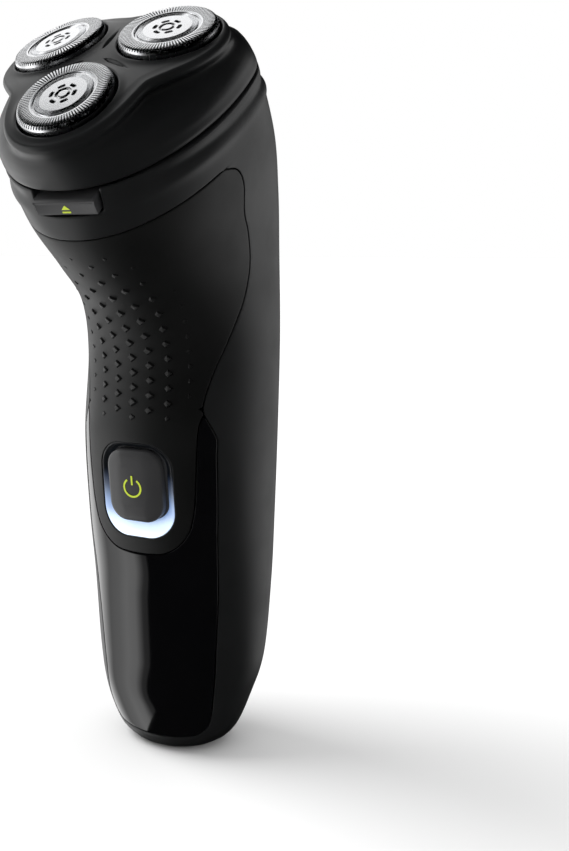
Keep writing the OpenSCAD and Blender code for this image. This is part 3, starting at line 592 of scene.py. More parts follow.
# Ground cutter steel: a little darker and duller than the turned parts
CUTTER_STEEL = metal("ground_cutter_steel", "#a9abae", "#97999c", 0.3, 0.35, 0.008)
# Zinc-plated motor can: soft grey, with marks drawn out along it
CAN_STEEL = metal("drawn_zinc_plated_can", "#a2a4a6", "#8f9193", 0.36, 1.2, 0.01, (1, 1, 0.2))
# Nickel plate on the contacts: warm and bright
NICKEL = metal("nickel_plate", "#cfc9bd", "#bdb7aa", 0.22, 0.8, 0.006)
# Enamelled copper winding: reddish brown, with a ripple like wound wire
COPPER = metal("wound_copper_enamelled", "#a8643a", "#8e4f2b", 0.35, 0.35, 0.04, (0.3, 1, 1))


# ---------------------------------------------------------------------------
# Hand tools: primitives shaped in edit mode, in millimetres
# ---------------------------------------------------------------------------
def begin(kind, name, **how):
    """Adds a primitive, alone selected."""
    if bpy.context.mode != "OBJECT":
        bpy.ops.object.mode_set(mode="OBJECT")
    bpy.ops.object.select_all(action="DESELECT")
    getattr(bpy.ops.mesh, "primitive_%s_add" % kind)(**how)
    piece = bpy.context.object
    piece.name = piece.data.name = name
    bpy.ops.object.transform_apply(location=True, rotation=True, scale=True)
    return piece


def focus(piece):
    """Makes a piece the only one selected, in object mode."""
    if bpy.context.mode != "OBJECT":
        bpy.ops.object.mode_set(mode="OBJECT")
    bpy.ops.object.select_all(action="DESELECT")
    piece.select_set(True)
    bpy.context.view_layer.objects.active = piece


def from_points(name, points, faces):
    """A new object from its points and faces."""
    mesh = bpy.data.meshes.new(name)
    mesh.from_pydata(points, [], faces)
    piece = bpy.data.objects.new(name, mesh)
    bpy.context.scene.collection.objects.link(piece)
    return piece


def face_out(piece, weld=False):
    """Turns all faces of a piece outward, after its doubles are merged where asked."""
    focus(piece)
    bpy.ops.object.mode_set(mode="EDIT")
    bpy.ops.mesh.select_all(action="SELECT")
    if weld:
        bpy.ops.mesh.remove_doubles(threshold=0.001)
    bpy.ops.mesh.normals_make_consistent(inside=False)
    bpy.ops.object.mode_set(mode="OBJECT")


def pick(piece, kind, test):
    """Goes to edit mode with only the faces or edges that pass a test of their middle and direction."""
    focus(piece)
    bpy.ops.object.mode_set(mode="EDIT")
    bpy.ops.mesh.select_mode(type=kind)
    bpy.ops.mesh.select_all(action="DESELECT")
    work = bmesh.from_edit_mesh(piece.data)
    if kind == "FACE":
        for face in work.faces:
            face.select = test(face.calc_center_median(), face.normal)
    else:
        for edge in work.edges:
            a, b = (vert.co for vert in edge.verts)
            edge.select = test((a + b) / 2, b - a)
    work.select_flush_mode()
    bmesh.update_edit_mesh(piece.data)


def leave(piece):
    if piece.mode == "EDIT":
        bpy.ops.object.mode_set(mode="OBJECT")


def soften(piece, width, segments, angle=35):
    """Rounds the edges that are sharper than the angle."""
    focus(piece)
    rule = piece.modifiers.new("soft_edges", "BEVEL")
    rule.width, rule.segments, rule.limit_method = width, segments, "ANGLE"
    rule.angle_limit = math.radians(angle)
    bpy.ops.object.modifier_apply(modifier=rule.name)


def seat(piece, matrix):
    """Moves a piece from its own frame, in millimetres, to its place in metres."""
    leave(piece)
    piece.data.transform(Matrix.Scale(MM, 4) @ matrix)
    piece.matrix_world = Matrix.Identity(4)
    return piece


def join(name, *pieces):
    """Several pieces made one."""
    bpy.ops.object.select_all(action="DESELECT")
    for piece in pieces:
        piece.select_set(True)
    bpy.context.view_layer.objects.active = pieces[0]
    bpy.ops.object.join()
    pieces[0].name = pieces[0].data.name = name
    return pieces[0]


def finish_piece(piece, body, material, stands_for=(), angle=40):
    """Shades a piece and says what it rides on and stands for."""
    leave(piece)
    focus(piece)
    bpy.ops.object.shade_smooth_by_angle(angle=math.radians(angle))
    if not piece.data.materials:
        piece.data.materials.append(material)
    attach(piece, body)
    if stands_for:
        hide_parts(*stands_for)
    return piece


def rod(name, matrix, r, x0, x1, edge=0.15, sides=40):
    """A turned bar along its frame's x axis, with softened ends."""
    bar = begin("cylinder", name, vertices=sides, radius=r, depth=x1 - x0, location=((x0 + x1) / 2, 0, 0),
                rotation=(0, math.pi / 2, 0))
    pick(bar, "FACE", lambda c, n: abs(n.x) > 0.9)
    bpy.ops.mesh.bevel(offset=edge, segments=3, affect="EDGES")
    return seat(bar, matrix)


# ---------------------------------------------------------------------------
# Shells
# ---------------------------------------------------------------------------
def turn(step_deg, low=-180, high=180):
    count = int(round((high - low) / step_deg)) + 1
    return np.radians(np.linspace(low, high, count))


FOOT_STEPS = np.concatenate([np.linspace(-1, -0.1, 16), [-0.03]])

rear = skin("rear_shell_skin", np.concatenate([FOOT_STEPS, spaced(0, 12, 1.0)]), turn(2),
            shell_zone, on_body, roll=0.22, wall=2.1, rolled=shell_edges)
finish_piece(rear, "root", SHELL_ABS, ["rear_shell"])

panel = skin("gloss_panel_skin", spaced(0.3, 8.2, 0.7), turn(1.5, -100, 100), panel_zone, on_body,
             roll=0.25, wall=1.7)
finish_piece(panel, "root", PANEL_ACRYLIC, ["front_panel"])


# ---- grip with raised chevrons ----
def chevron(size, height):
    """One raised chevron that points to +x: a ramp that rises to a sharp front."""
    tip, wing, notch = 0.95 * size, 0.85 * size, -0.1 * size
    low = [(-0.95 * size, 0, -0.05), (-0.15 * size, wing, -0.05), (tip, 0, -0.05),
           (-0.15 * size, -wing, -0.05)]
    top = [(-0.25 * size, 0.62 * wing, height * 0.75), (tip * 0.72, 0, height),
           (-0.25 * size, -0.62 * wing, height * 0.75), (notch - 0.12 * size, 0, height * 0.42)]
    faces = [(0, 1, 4, 7), (0, 7, 6, 3), (1, 2, 5, 4), (2, 3, 6, 5), (7, 4, 5), (7, 5, 6), (3, 2, 1, 0)]
    return np.array(low + top), faces


def chevron_field():
    """Places and heights of the chevrons: staggered columns that fade towards the field's edge."""
    out = []
    for column in range(-3, 4):
        x = 3.95 * column
        for k in range(14):
            z = 81.2 + 3.2 * k + (1.6 if column % 2 else 0)
            edge = abs(column) / 3.4
            top = 116.5 - 5.5 * edge ** 2
            low = 80.5 + 9 * max(0, edge - 0.55)
            fade = min(1, (top - z) / 9, (z - low) / 5 + 0.35) * (0.45 if abs(column) == 3 else 1)
            if fade > 0.12:
                out.append((x, z, min(1, 0.45 + 0.6 * fade) * (1 - 0.25 * edge), max(0.25, fade)))
    return out


def build_chevrons():
    rows = chevron_field()
    points, normals = land(FACING, [(x, z) for x, z, _, _ in rows])
    verts, faces = [], []
    for (x, z, size, fade), p, n in zip(rows, points, normals):
        shape, own = chevron(1.3 * size, 0.5 * fade)
        n = Vector(n)
        across = Vector((1, 0, 0))
        across = (across - n * across.dot(n)).normalized()
        up = n.cross(across)
        base = len(verts)
        for q in shape:
            verts.append(Vector(p) + across * q[0] + up * q[1] + n * q[2])
        faces += [[base + i for i in f] for f in own]
    piece = from_points("grip_chevrons", [v * MM for v in verts], faces)
    face_out(piece)
    soften(piece, 0.07 * MM, 2, 20)
    return piece


grip = skin("grip_skin", spaced(5.2, 11.6, 0.7), turn(1.5, -115, 115), grip_zone, on_body,
            roll=0.28, wall=2.0)
grip = join("grip_skin", grip, build_chevrons())
finish_piece(grip, "root", GRIP_TPE, ["grip_panel"])


# ---- collar ----
def collar_relief(p):
    """A soft groove and a bead run round the collar."""
    h = head_level(p)
    back = np.clip((p[:, 1] + 52) / 60, 0, 1)
    middle = -17.3 - 2.9 * back
    bead = 0.42 * np.exp(-((h - middle) / 1.25) ** 2)
    groove = -0.3 * np.exp(-((h - middle - 2.3) / 0.8) ** 2)
    away = np.clip((np.abs(p[:, 0]) - 8.5) / 6, 0, 1)
    return (bead + groove) * np.where(p[:, 1] < -30, away ** 2 * (3 - 2 * away), 1.0)


collar = skin("collar_skin", spaced(10.2, 12.4, 0.42), turn(1.5), collar_zone, on_body, roll=0.45, wall=2.1,
              relief=collar_relief, rolled=collar_edges)
HINGE_V, HINGE_H = 26.6, -13.55
HINGE = HEAD @ Matrix.Translation((0, HINGE_V, HINGE_H))
KNUCKLE_R, KNUCKLE_HALF, KNUCKLE_END = 2.0, 5, 9
KNUCKLE_GAP = 0.25
KNUCKLE_START = KNUCKLE_HALF + KNUCKLE_GAP
knuckles = [rod("collar_knuckle", HINGE, KNUCKLE_R, low, high)
            for low, high in ((-KNUCKLE_END, -KNUCKLE_START), (KNUCKLE_START, KNUCKLE_END))]
collar = join("collar_skin", collar, *knuckles)
finish_piece(collar, "root", SHELL_ABS, ["collar"])

# ---------------------------------------------------------------------------
# Head unit
# ---------------------------------------------------------------------------
VALLEY_R = 18.2
TREFOIL_V = -1.2  # the trefoil's middle lies a little down the slope
LOBE_RISE = CAP_RING + CAP_R + 1.9 - VALLEY_R
BASE_FRONT, BASE_BACK, BASE_SHARE = -26.4, 26.2, 0.66
PLATE_DROP = 1.75


def lobe_share(a):
    """1 at a lobe of the trefoil, 0 in a valley; a is the turn round the head from +x."""
    return (1 + np.cos(3 * (a - math.radians(30)))) / 2


def trefoil(a, inset):
    r = VALLEY_R + LOBE_RISE * lobe_share(a) ** 0.8 - inset
    return np.column_stack([r * np.cos(a), r * np.sin(a) + TREFOIL_V])


def base_edge(a, inset):
    """The collar's outline at the parting plane; a is the turn from +x."""
    b = a + math.pi / 2
    c = np.cos(b)
    power = np.where(c > 0, FRONT_POWER, BACK_POWER)
    depth = BASE_BACK - BASE_FRONT
    reach = np.where(c > 0, BASE_SHARE, 1 - BASE_SHARE) * depth - inset
    return np.column_stack([(COLLAR_W / 2 - inset) * arc(np.sin(b), power),
                            BASE_FRONT + BASE_SHARE * depth - reach * arc(c, power)])


def plate_height(x, y):
    """Height of the top plate: three faces that lie parallel to the caps' rims and meet in soft ridges."""
    sides = [-PLATE_DROP - math.tan(CAP_LEAN) * (x * math.cos(b) + y * math.sin(b) - CAP_RING)
             for b in (math.radians(t) for t in CAP_ANGLES.values())]
    sharp = 2.2
    return -np.log(sum(np.exp(-sharp * s) for s in sides)) / sharp


# Side of the head: level, share of the way from the base's outline to the trefoil, inset
HEAD_LOW = -13.4
HEAD_SIDE = np.array([(HEAD_LOW, 0, 0.25), (-12.4, 0, 0), (-11.2, 0.03, -0.15), (-9.8, 0.08, -0.35),
                      (-8.3, 0.2, -0.3), (-7, 0.42, 0.2), (-5.9, 0.7, 0.75), (-4.9, 0.9, 0.95),
                      (-4, 0.98, 0.65),
                      (-3.1, 1.0, 0.2), (-2.3, 1.0, 0.02)])
LIP_R = 1.1
LIP_SHARE = 0.12  # share of the run from lip to middle that the lip's quarter round takes


def head_surface(t, a):
    """The head unit's outside: t runs from the base (0) to the lip (1), then over the plate
    to its middle (2)."""
    rows = spline(HEAD_SIDE, np.clip(t, 0, 1) * (len(HEAD_SIDE) - 1))
    level, share, inset = rows[:, 0], rows[:, 1], rows[:, 2]
    valley = 1 - lobe_share(a)
    inset = np.where(inset > 0, inset * (0.1 + 2.1 * valley), inset * (0.25 + 0.75 * valley))
    # at the lobes the wall stands nearly upright, and in the valleys it is drawn in below the lip
    even = np.clip((level - HEAD_LOW) / 10.8, 0, 1)
    share = share * valley + even ** 1.5 * (1 - valley)
    side = base_edge(a, inset) * (1 - share)[:, None] + trefoil(a, inset) * share[:, None]
    edge = trefoil(a, 0)
    lip_level = plate_height(edge[:, 0], edge[:, 1]) - LIP_R
    drop = np.clip((level + 7) / 4.7, 0, 1)
    level = level + drop * (lip_level + 2.3)
    # over the lip: a quarter round, then inwards across the plate
    s = np.clip(t - 1, 0, 1)
    over = np.clip(s / LIP_SHARE, 0, 1) * math.pi / 2
    reach = np.linalg.norm(edge - (0, TREFOIL_V), axis=1)
    radial = np.clip((reach - LIP_R) * (1 - np.clip((s - LIP_SHARE) / (1 - LIP_SHARE), 0, 1)), 0, None)
    ring = np.where(s < LIP_SHARE, reach - LIP_R * (1 - np.cos(over)), radial)
    flat = np.column_stack([ring * np.cos(a), ring * np.sin(a) + TREFOIL_V])
    top = plate_height(flat[:, 0], flat[:, 1])
    rise = np.where(s < LIP_SHARE, lip_level + LIP_R * np.sin(over), top)
    settle = np.clip((s - LIP_SHARE) / 0.1, 0, 1)
    rise = np.where(s >= LIP_SHARE, (lip_level + LIP_R) * (1 - settle) + top * settle, rise)
    local = np.where((t <= 1)[:, None], np.column_stack([side, level]), np.column_stack([flat, rise]))
    return through(HEAD, local)


def on_head(params):
    return head_surface(params[:, 0], params[:, 1])


INTO_CAPS = {side: cap_frame(side).inverted() for side in CAP_ANGLES}
CAP_GAP = 0.42


def off_caps(p):
    """Distance from the nearest cap's bore, for places on top."""
    near = np.full(len(p), 9.0)
    for into in INTO_CAPS.values():
        local = through(into, p)
        gap = np.hypot(local[:, 0], local[:, 1]) - CAP_R - CAP_GAP
        near = np.where(local[:, 2] > -6, np.minimum(near, gap), near)
    return near


def head_zone(p):
    local = through(HEAD.inverted(), p)
    hinge = np.hypot(local[:, 1] - HINGE_V, local[:, 2] - HINGE_H) - KNUCKLE_R - 0.35
    side = np.abs(local[:, 0])
    hinge = np.where(side < KNUCKLE_END + 0.3, np.maximum(hinge, side - KNUCKLE_END - 0.3), 9.0)
    return np.minimum.reduce([off_caps(p), local[:, 2] - HEAD_LOW, hinge])


def head_relief(p):
    """A low rim round each cap, and a small pointed dip between caps."""
    rim = 0.35 * np.exp(-(off_caps(p) / 1.1) ** 2)
    local = through(HEAD.inverted(), p)
    crease = np.zeros(len(p))
    for b in (-30, 90, 210):
        c, s = math.cos(math.radians(b)), math.sin(math.radians(b))
        along, across = local[:, 0] * c + local[:, 1] * s, -local[:, 0] * s + local[:, 1] * c
        run = np.clip((along - 2.8) / 9, 0, 1)
        half = 1.5 * np.sqrt(run) * (1 - run)
        crease -= 0.55 * np.clip((half - np.abs(across)) / 0.5, 0, 1) * (1 - 0.7 * run) * (local[:, 2] > -4)
    return rim * (local[:, 2] > -5) + crease


LIP_END = 1 + LIP_SHARE
HEAD_STEPS = np.concatenate([np.linspace(0, 1, 46)[:-1], np.linspace(1, LIP_END, 8)[:-1],
                             np.linspace(LIP_END, 2, 60)])
housing = skin("head_housing_skin", HEAD_STEPS, turn(1.2), head_zone, on_head, roll=0.4, wall=1.4,
               relief=head_relief)
knuckle = rod("head_knuckle", HINGE, KNUCKLE_R, -KNUCKLE_HALF, KNUCKLE_HALF)
post = begin("cylinder", "head_post", vertices=40, radius=2, depth=11, location=(0, 0, -6.7))
soften(post, 0.25, 3)
seat(post, HEAD)
housing = join("head_housing_skin", housing, knuckle, post)
finish_piece(housing, "shaving_unit", HEAD_ABS, ["head_housing"])

# ---------------------------------------------------------------------------
# Caps
# ---------------------------------------------------------------------------
SLOT_COUNT = 90


def lathe_uv(piece):
    """A UV map that holds each point's radius and turn, in the piece's own frame."""
    layer = piece.data.uv_layers.new(name="lathe")
    for loop in piece.data.loops:
        co = piece.data.vertices[loop.vertex_index].co
        layer.data[loop.index].uv = (math.hypot(co.x, co.y), math.atan2(co.y, co.x))


def lathe(name, profile, steps=120):
    """Spins a profile (r, z) once round its frame's z axis."""
    line = begin("circle", name, vertices=3, radius=1)
    bpy.ops.object.mode_set(mode="EDIT")
    work = bmesh.from_edit_mesh(line.data)
    work.clear()
    spots = [work.verts.new((r, 0, z)) for r, z in profile]
    for a, b in zip(spots, spots[1:]):
        work.edges.new((a, b))
    bmesh.update_edit_mesh(line.data)
    bpy.ops.mesh.select_all(action="SELECT")
    bpy.ops.mesh.spin(steps=steps, angle=2 * math.pi, center=(0, 0, 0), axis=(0, 0, 1))
    face_out(line, weld=True)
    return line


def slotted_band():
    """The outer band of a cap: thin bars between narrow slots that turn over the shoulder."""
    pitch, bar = 2 * math.pi / SLOT_COUNT, 0.5
    profile = [(6.62, -0.04), (6.95, 0.0), (8.2, 0.03), (9.05, -0.02), (9.5, -0.2), (9.78, -0.55),
               (CAP_R, -1.0)]
    open_from, open_to = 1, 5
    verts, faces = [], []
    n = len(profile)
    for k in range(SLOT_COUNT):
        for share in (0, bar):
            a = (k + share) * pitch
            verts += [(r * math.cos(a), r * math.sin(a), z) for r, z in profile]
    columns = 2 * SLOT_COUNT
    for c in range(columns):
        d = (c + 1) % columns
        for i in range(n - 1):
            if c % 2 == 0 or i < open_from or i >= open_to:
                faces.append((c * n + i, c * n + i + 1, d * n + i + 1, d * n + i))
    band = from_points("cap_band", verts, faces)
    focus(band)
    wall = band.modifiers.new("foil", "SOLIDIFY")
    wall.thickness, wall.offset = 0.12, -1
    bpy.ops.object.modifier_apply(modifier=wall.name)
    return band


def in_emblem(p):
    """Outside the six short slots stamped round the middle of the cap."""
    r, a = np.hypot(p[:, 0], p[:, 1]), np.arctan2(p[:, 1], p[:, 0])
    step = math.pi / 3
    off = a % step - step / 2
    return -inside_rounded(r - 2.55, off * 2.55, 0.75, 1.55, 0.3)


def disc_surface(params):
    r, a = params[:, 0], params[:, 1]
    z = -0.02 - 0.22 * np.exp(-((r - 1.35) / 0.22) ** 2) + 0.05 * np.cos(np.clip(r / 4.9, 0, 1) * math.pi / 2)
    return np.column_stack([r * np.cos(a), r * np.sin(a), z])


def build_cap(side):
    band = slotted_band()
    wall = lathe("cap_wall", [(9.9, -0.95), (9.9, -5.5), (9.82, -5.6), (9.5, -5.6), (9.5, -1.0)])
    rings = [(6.68, -0.05), (6.55, -0.3), (6.35, -0.42), (6.1, -0.42), (5.98, -0.3)]
    for k in range(4):
        r = 5.92 - 0.27 * k
        rings += [(r, -0.03), (r - 0.09, -0.01), (r - 0.15, -0.14), (r - 0.21, -0.14)]
    rings += [(4.84, -0.02), (4.8, -0.4), (6.7, -0.7), (6.68, -0.05)]
    middle = lathe("cap_rings", rings)
    disc = skin("cap_disc", np.linspace(0, 4.86, 30), turn(2.5), in_emblem, disc_surface, roll=0.1, wall=0.35,
                flip=True)
    disc.data.transform(Matrix.Scale(1 / MM, 4))
    # a black ring under the slots: painted shade that darkens the slots' inside
    under = lathe("cap_shade_ring", [(6.9, -0.34), (9.1, -0.42), (9.1, -0.5), (6.9, -0.42), (6.9, -0.34)])
    for part in (band, wall, middle, disc):
        part.data.materials.append(CAP_STEEL)
    under.data.materials.append(CAP_SHADE_BLACK)
    cap = join("cap_%s_foil" % side, band, wall, middle, disc, under)
    lathe_uv(cap)
    seat(cap, cap_frame(side))
    return finish_piece(cap, "cap_" + side, CAP_STEEL, ["cap_" + side], 30)


for side_name in CAP_ANGLES:
    build_cap(side_name)


# ---------------------------------------------------------------------------
# Power button, its light guide and its symbol
# ---------------------------------------------------------------------------
def rounded_block(name, w, h, r, low, high, segments=10):
    """A block with rounded upright edges, begun as a cube."""
    block = begin("cube", name, size=1, location=(0, 0, (low + high) / 2), scale=(w, h, high - low))
    pick(block, "EDGE", lambda c, d: abs(d.z) > abs(d.x) + abs(d.y))
    bpy.ops.mesh.bevel(offset=r, segments=segments, affect="EDGES")
    return block


def skin_depth(points):
    """How far the body's surface lies below the button frame's plane at (x, y) places."""
    landed, _ = land(BUTTON, points)
    return through(BUTTON.inverted(), landed)[:, 2]


KEY_CURVE = 0.017
button = rounded_block("power_button_key", BUTTON_W, BUTTON_H, 4.2, -2.0, 0.0)
pick(button, "FACE", lambda c, n: n.z > 0.9)
for inset, lift in ((0.12, 0.22), (0.25, 0.2), (0.45, 0.16), (0.8, 0.1), (1.1, 0.04), (1.1, 0.02)):
    bpy.ops.mesh.inset(thickness=inset, depth=lift)
leave(button)
# the key follows the handle's curve from side to side, a little flatter than it
for vert in button.data.vertices:
    x, y = vert.co.x, vert.co.y
    vert.co.y = y + BUTTON_UP
    if vert.co.z > -0.5:
        vert.co.z += -KEY_CURVE * x * x + 0.1
seat(button, BUTTON)


def symbol_ring(r, width, gap_deg, segments=40):
    """A flat ring with a gap at its top."""
    half = math.radians(gap_deg / 2)
    angles = np.linspace(math.pi / 2 + half, 2.5 * math.pi - half, segments)
    verts = [(q * math.cos(a), q * math.sin(a)) for a in angles for q in (r - width / 2, r + width / 2)]
    faces = [(2 * k, 2 * k + 1, 2 * k + 3, 2 * k + 2) for k in range(segments - 1)]
    return verts, faces


def ink(name, verts, faces, matrix, top):
    """A printed mark laid on a surface whose height is given, a few hundredths thick."""
    mark = from_points(name, [(x, y, top(x, y)) for x, y in verts], faces)
    focus(mark)
    film = mark.modifiers.new("film", "SOLIDIFY")
    film.thickness, film.offset = 0.05, 0
    bpy.ops.object.modifier_apply(modifier=film.name)
    face_out(mark)
    return seat(mark, matrix)


def key_top(x, y):
    """Height of the power button's face."""
    return 0.84 - KEY_CURVE * x * x


ring_verts, ring_faces = symbol_ring(2.05, 0.42, 68)
shift = len(ring_verts)
ring_verts = [(x, y + BUTTON_UP - 0.1) for x, y in ring_verts]
ring_verts += [(x, y + BUTTON_UP) for y in (0.55, 1.6, 2.65) for x in (-0.21, 0.21)]
ring_faces += [(shift, shift + 1, shift + 3, shift + 2), (shift + 2, shift + 3, shift + 5, shift + 4)]
power_mark = ink("power_mark", ring_verts, ring_faces, BUTTON, key_top)
finish_piece(power_mark, "power_button", LIME_INK)
finish_piece(button, "power_button", BUTTON_ABS, ["power_button"], 50)


def rounded_loop(w, h, r, n=120):
    """Points round a rounded rectangle, evenly by angle, counter-clockwise."""
    out = []
    per = n // 4
    for q in range(4):
        cx, cy = (w / 2 - r) * (1, -1, -1, 1)[q], (h / 2 - r) * (1, 1, -1, -1)[q]
        for k in range(per):
            a = math.pi / 2 * (q + k / (per - 1))
            out.append((cx + r * math.cos(a), cy + r * math.sin(a)))
    return out


def build_guide():
    """The light guide: a dished channel from the pocket's edge down to the key."""
    outer = rounded_loop(POCKET_W - 0.1, POCKET_H - 0.1, POCKET_R - 0.05)
    inner = rounded_loop(BUTTON_W + 0.5, BUTTON_H + 0.5, 4.4)
    depth = skin_depth([(x, y + POCKET_UP) for x, y in outer])
    rings = []
    for share, fall in ((0, 0.3), (0.06, 0.22), (0.2, 0.3), (0.45, 0.62), (0.7, 1.05), (0.9, 1.5),
                        (1.0, 2.1)):
        ring = []
        for (x0, y0), (x1, y1), z in zip(outer, inner, depth):
            x = x0 + (x1 - x0) * share
            y = y0 + POCKET_UP + (y1 + BUTTON_UP - y0 - POCKET_UP) * share
            floor = z * (1 - share) + (-KEY_CURVE * x1 * x1 - 0.2) * share
            ring.append((x, y, floor - fall))
        rings.append(ring)
    n = len(outer)
    under = [[(x, y, z - 1.0) for x, y, z in rings[0]], [(x, y, z - 0.6) for x, y, z in rings[-1]]]
    rings = [under[0]] + rings + [under[1]]
    verts = [p for ring in rings for p in ring]
    faces = []
    m = len(rings)
    for i in range(m):
        for j in range(n):
            k, d = (j + 1) % n, (i + 1) % m
            faces.append((i * n + j, i * n + k, d * n + k, d * n + j))
    guide = from_points("light_guide_ring", verts, faces)
    face_out(guide, weld=True)
    seat(guide, BUTTON)
    return finish_piece(guide, "root", GUIDE_PC, ["light_ring"], 60)


build_guide()

# ---------------------------------------------------------------------------
# Release button with its open symbol
# ---------------------------------------------------------------------------
RELEASE_W, RELEASE_TOP, RELEASE_LOW, RELEASE_FACE, RELEASE_BACK = 13.6, -14.7, -17.95, -27.3, -22.6
release = begin("cube", "release_key", size=1,
                location=(0, (RELEASE_FACE + RELEASE_BACK) / 2, (RELEASE_TOP + RELEASE_LOW) / 2),
                scale=(RELEASE_W, RELEASE_BACK - RELEASE_FACE, RELEASE_TOP - RELEASE_LOW))
pick(release, "EDGE", lambda c, d: abs(d.x) > 1 and c.y < -25 and c.z > -16)
bpy.ops.mesh.bevel(offset=0.7, segments=5, affect="EDGES")
leave(release)
pick(release, "FACE", lambda c, n: n.y < -0.9)
bpy.ops.mesh.inset(thickness=0.5, depth=-0.12)
leave(release)
soften(release, 0.2, 3, 30)
seat(release, HEAD)
finish_piece(release, "release_button", BUTTON_ABS, ["release_button"])

# a triangle over a bar
MARK_HALF, MARK_Z = 0.95, -16.75
FACE_FRAME = HEAD @ Matrix.Translation((0, RELEASE_FACE + 0.1, MARK_Z)) @ FACING
open_points = [(-MARK_HALF, -0.1), (MARK_HALF, -0.1), (0, 0.85),
               (-MARK_HALF, -0.85), (MARK_HALF, -0.85), (MARK_HALF, -0.5), (-MARK_HALF, -0.5)]
open_mark = ink("open_mark", open_points, [(0, 1, 2), (3, 4, 5, 6)], FACE_FRAME, lambda x, y: 0.02)
finish_piece(open_mark, "release_button", LIME_INK)

# ---------------------------------------------------------------------------
# Trimmer: flap, comb, blade, slide
# ---------------------------------------------------------------------------
flap = skin("trimmer_flap_skin", spaced(7.4, 10.4, 0.6), turn(1.5, 125, 235), flap_zone, on_body,
            roll=0.35, wall=1.6)
PIVOT = Matrix.Translation((0, PIVOT_Y, PIVOT_Z))
barrel = rod("trimmer_barrel", PIVOT, 3.3, -TRIMMER_W / 2, TRIMMER_W / 2, 0.3, 48)
cheeks = []
for s in (-1, 1):
    cheek = begin("cube", "flap_cheek", size=1, location=(s * (TRIMMER_W / 2 - 0.8), 0.9, 11),
                  scale=(1.3, 4.2, 20))
    soften(cheek, 0.25, 2)
    cheeks.append(seat(cheek, PIVOT))
flap = join("trimmer_flap_skin", flap, barrel, *cheeks)
finish_piece(flap, "trimmer_flap", SHELL_ABS, ["trimmer_flap"])


def comb(name, width, thick, height, tooth_h, y, teeth=15):
    """A comb plate: its top is cut into faces, and every other one is drawn up into a tooth."""
    low = PIVOT_Z + TRIMMER_H - 9.5
    plate = begin("cube", name, size=1, location=(0, y + thick / 2, low + height / 2),
                  scale=(width, thick, height))
    pick(plate, "EDGE", lambda c, d: abs(d.x) > 1)
    bpy.ops.mesh.subdivide(number_cuts=2 * teeth)
    step = width / (2 * teeth + 1)
    pick(plate, "FACE", lambda c, n: n.z > 0.9 and int(round((c.x + width / 2) / step - 0.5)) % 2 == 0)
    bpy.ops.mesh.extrude_faces_move(TRANSFORM_OT_shrink_fatten={"value": tooth_h * 0.75})
    bpy.ops.mesh.extrude_faces_move(TRANSFORM_OT_shrink_fatten={"value": tooth_h * 0.25})
    leave(plate)
    top = max(v.co.z for v in plate.data.vertices)
    for vert in plate.data.vertices:
        if vert.co.z > top - 0.01:
            vert.co.y = y + thick * (0.3 if vert.co.y < y + thick / 2 else 0.7)
    return seat(plate, Matrix.Identity(4))


comb_piece = comb("trimmer_comb_plate", TRIMMER_W - 3.4, 0.7, 7, 2.2, PIVOT_Y - 1.2)
finish_piece(comb_piece, "trimmer_flap", CUTTER_STEEL, ["trimmer_comb"], 30)
blade_piece = comb("trimmer_blade_plate", TRIMMER_W - 6, 0.6, 7, 1.8, PIVOT_Y - 0.4)
finish_piece(blade_piece, "trimmer_blade", CUTTER_STEEL, ["trimmer_blade"], 30)

slide = begin("cube", "trimmer_slide_pad", size=1, location=(0, 1.05, 3.5), scale=(13, 1.1, 7))
pick(slide, "EDGE", lambda c, d: abs(d.y) > 0.5)
bpy.ops.mesh.bevel(offset=1.6, segments=6, affect="EDGES")
leave(slide)
pick(slide, "FACE", lambda c, n: n.y > 0.9)
bpy.ops.mesh.inset(thickness=0.6, depth=0)
bpy.ops.mesh.inset(thickness=0.35, depth=-0.3)
leave(slide)
soften(slide, 0.16, 3, 35)
ribs = []
for k in range(4):
    rib = begin("cube", "slide_rib", size=1, location=(0, 1.5, 1.55 + 1.3 * k), scale=(9.6, 0.7, 0.55))
    soften(rib, 0.2, 3)
    ribs.append(rib)
stem = begin("cube", "slide_stem", size=1, location=(0, -1.2, 2.7), scale=(5.8, 3.6, 5.4))
soften(stem, 0.3, 2)
slide = join("trimmer_slide_pad", slide, stem, *ribs)
seat(slide, SLIDE)
finish_piece(slide, "trimmer_slide", BUTTON_ABS, ["trimmer_slide"])

# ---------------------------------------------------------------------------
# Carried-over solids of the frame
# ---------------------------------------------------------------------------
CARRIED = {
    SILICONE: ("neck_seal", "button_seal", "inlet_seal", "spindle_seals"),
    PLAIN_STEEL: ("tact_switch", "board_screws", "motor_screws", "spindle_front", "spindle_right",
                  "spindle_left", "release_spring", "hinge_pin", "trimmer_pin"),
    LAMP: ("status_led",), BOARD: ("circuit_board",), SLEEVE: ("battery",),
    NYLON: ("inner_frame", "gear_plate", "drive_deck", "retaining_frame", "retaining_lock", "inlet_socket",
            "trimmer_bay"),
    NICKEL: ("battery_tabs", "contact_pins"), CAN_STEEL: ("motor_can",), COPPER: ("motor_rotor",),
    ACETAL: ("motor_pinion", "gear_front", "gear_right", "gear_left"),
    CUTTER_STEEL: ("cutter_front", "cutter_right", "cutter_left"),
}
for material, names in CARRIED.items():
    for node_name in names:
        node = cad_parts[node_name]
        node.data.materials.clear()
        node.data.materials.append(material)

# ---------------------------------------------------------------------------
# Floor, lights and camera
# ---------------------------------------------------------------------------
floor = begin("plane", "studio_floor", size=24)
floor_paint, floor_tree, floor_shader, floor_places = start_material("studio_floor_pale_matte", Roughness=0.9)
floor_noise = put(floor_tree, "ShaderNodeTexNoise", inputs={"Scale": 3.0, "Detail": 2}, Vector=floor_places)
floor_tree.links.new(ramp(floor_tree, floor_noise.outputs["Fac"], [(0.3, grey(0.74)), (0.7, grey(0.75))]),
                     floor_shader.inputs["Base Color"])
floor.data.materials.append(floor_paint)
floor.visible_glossy = False

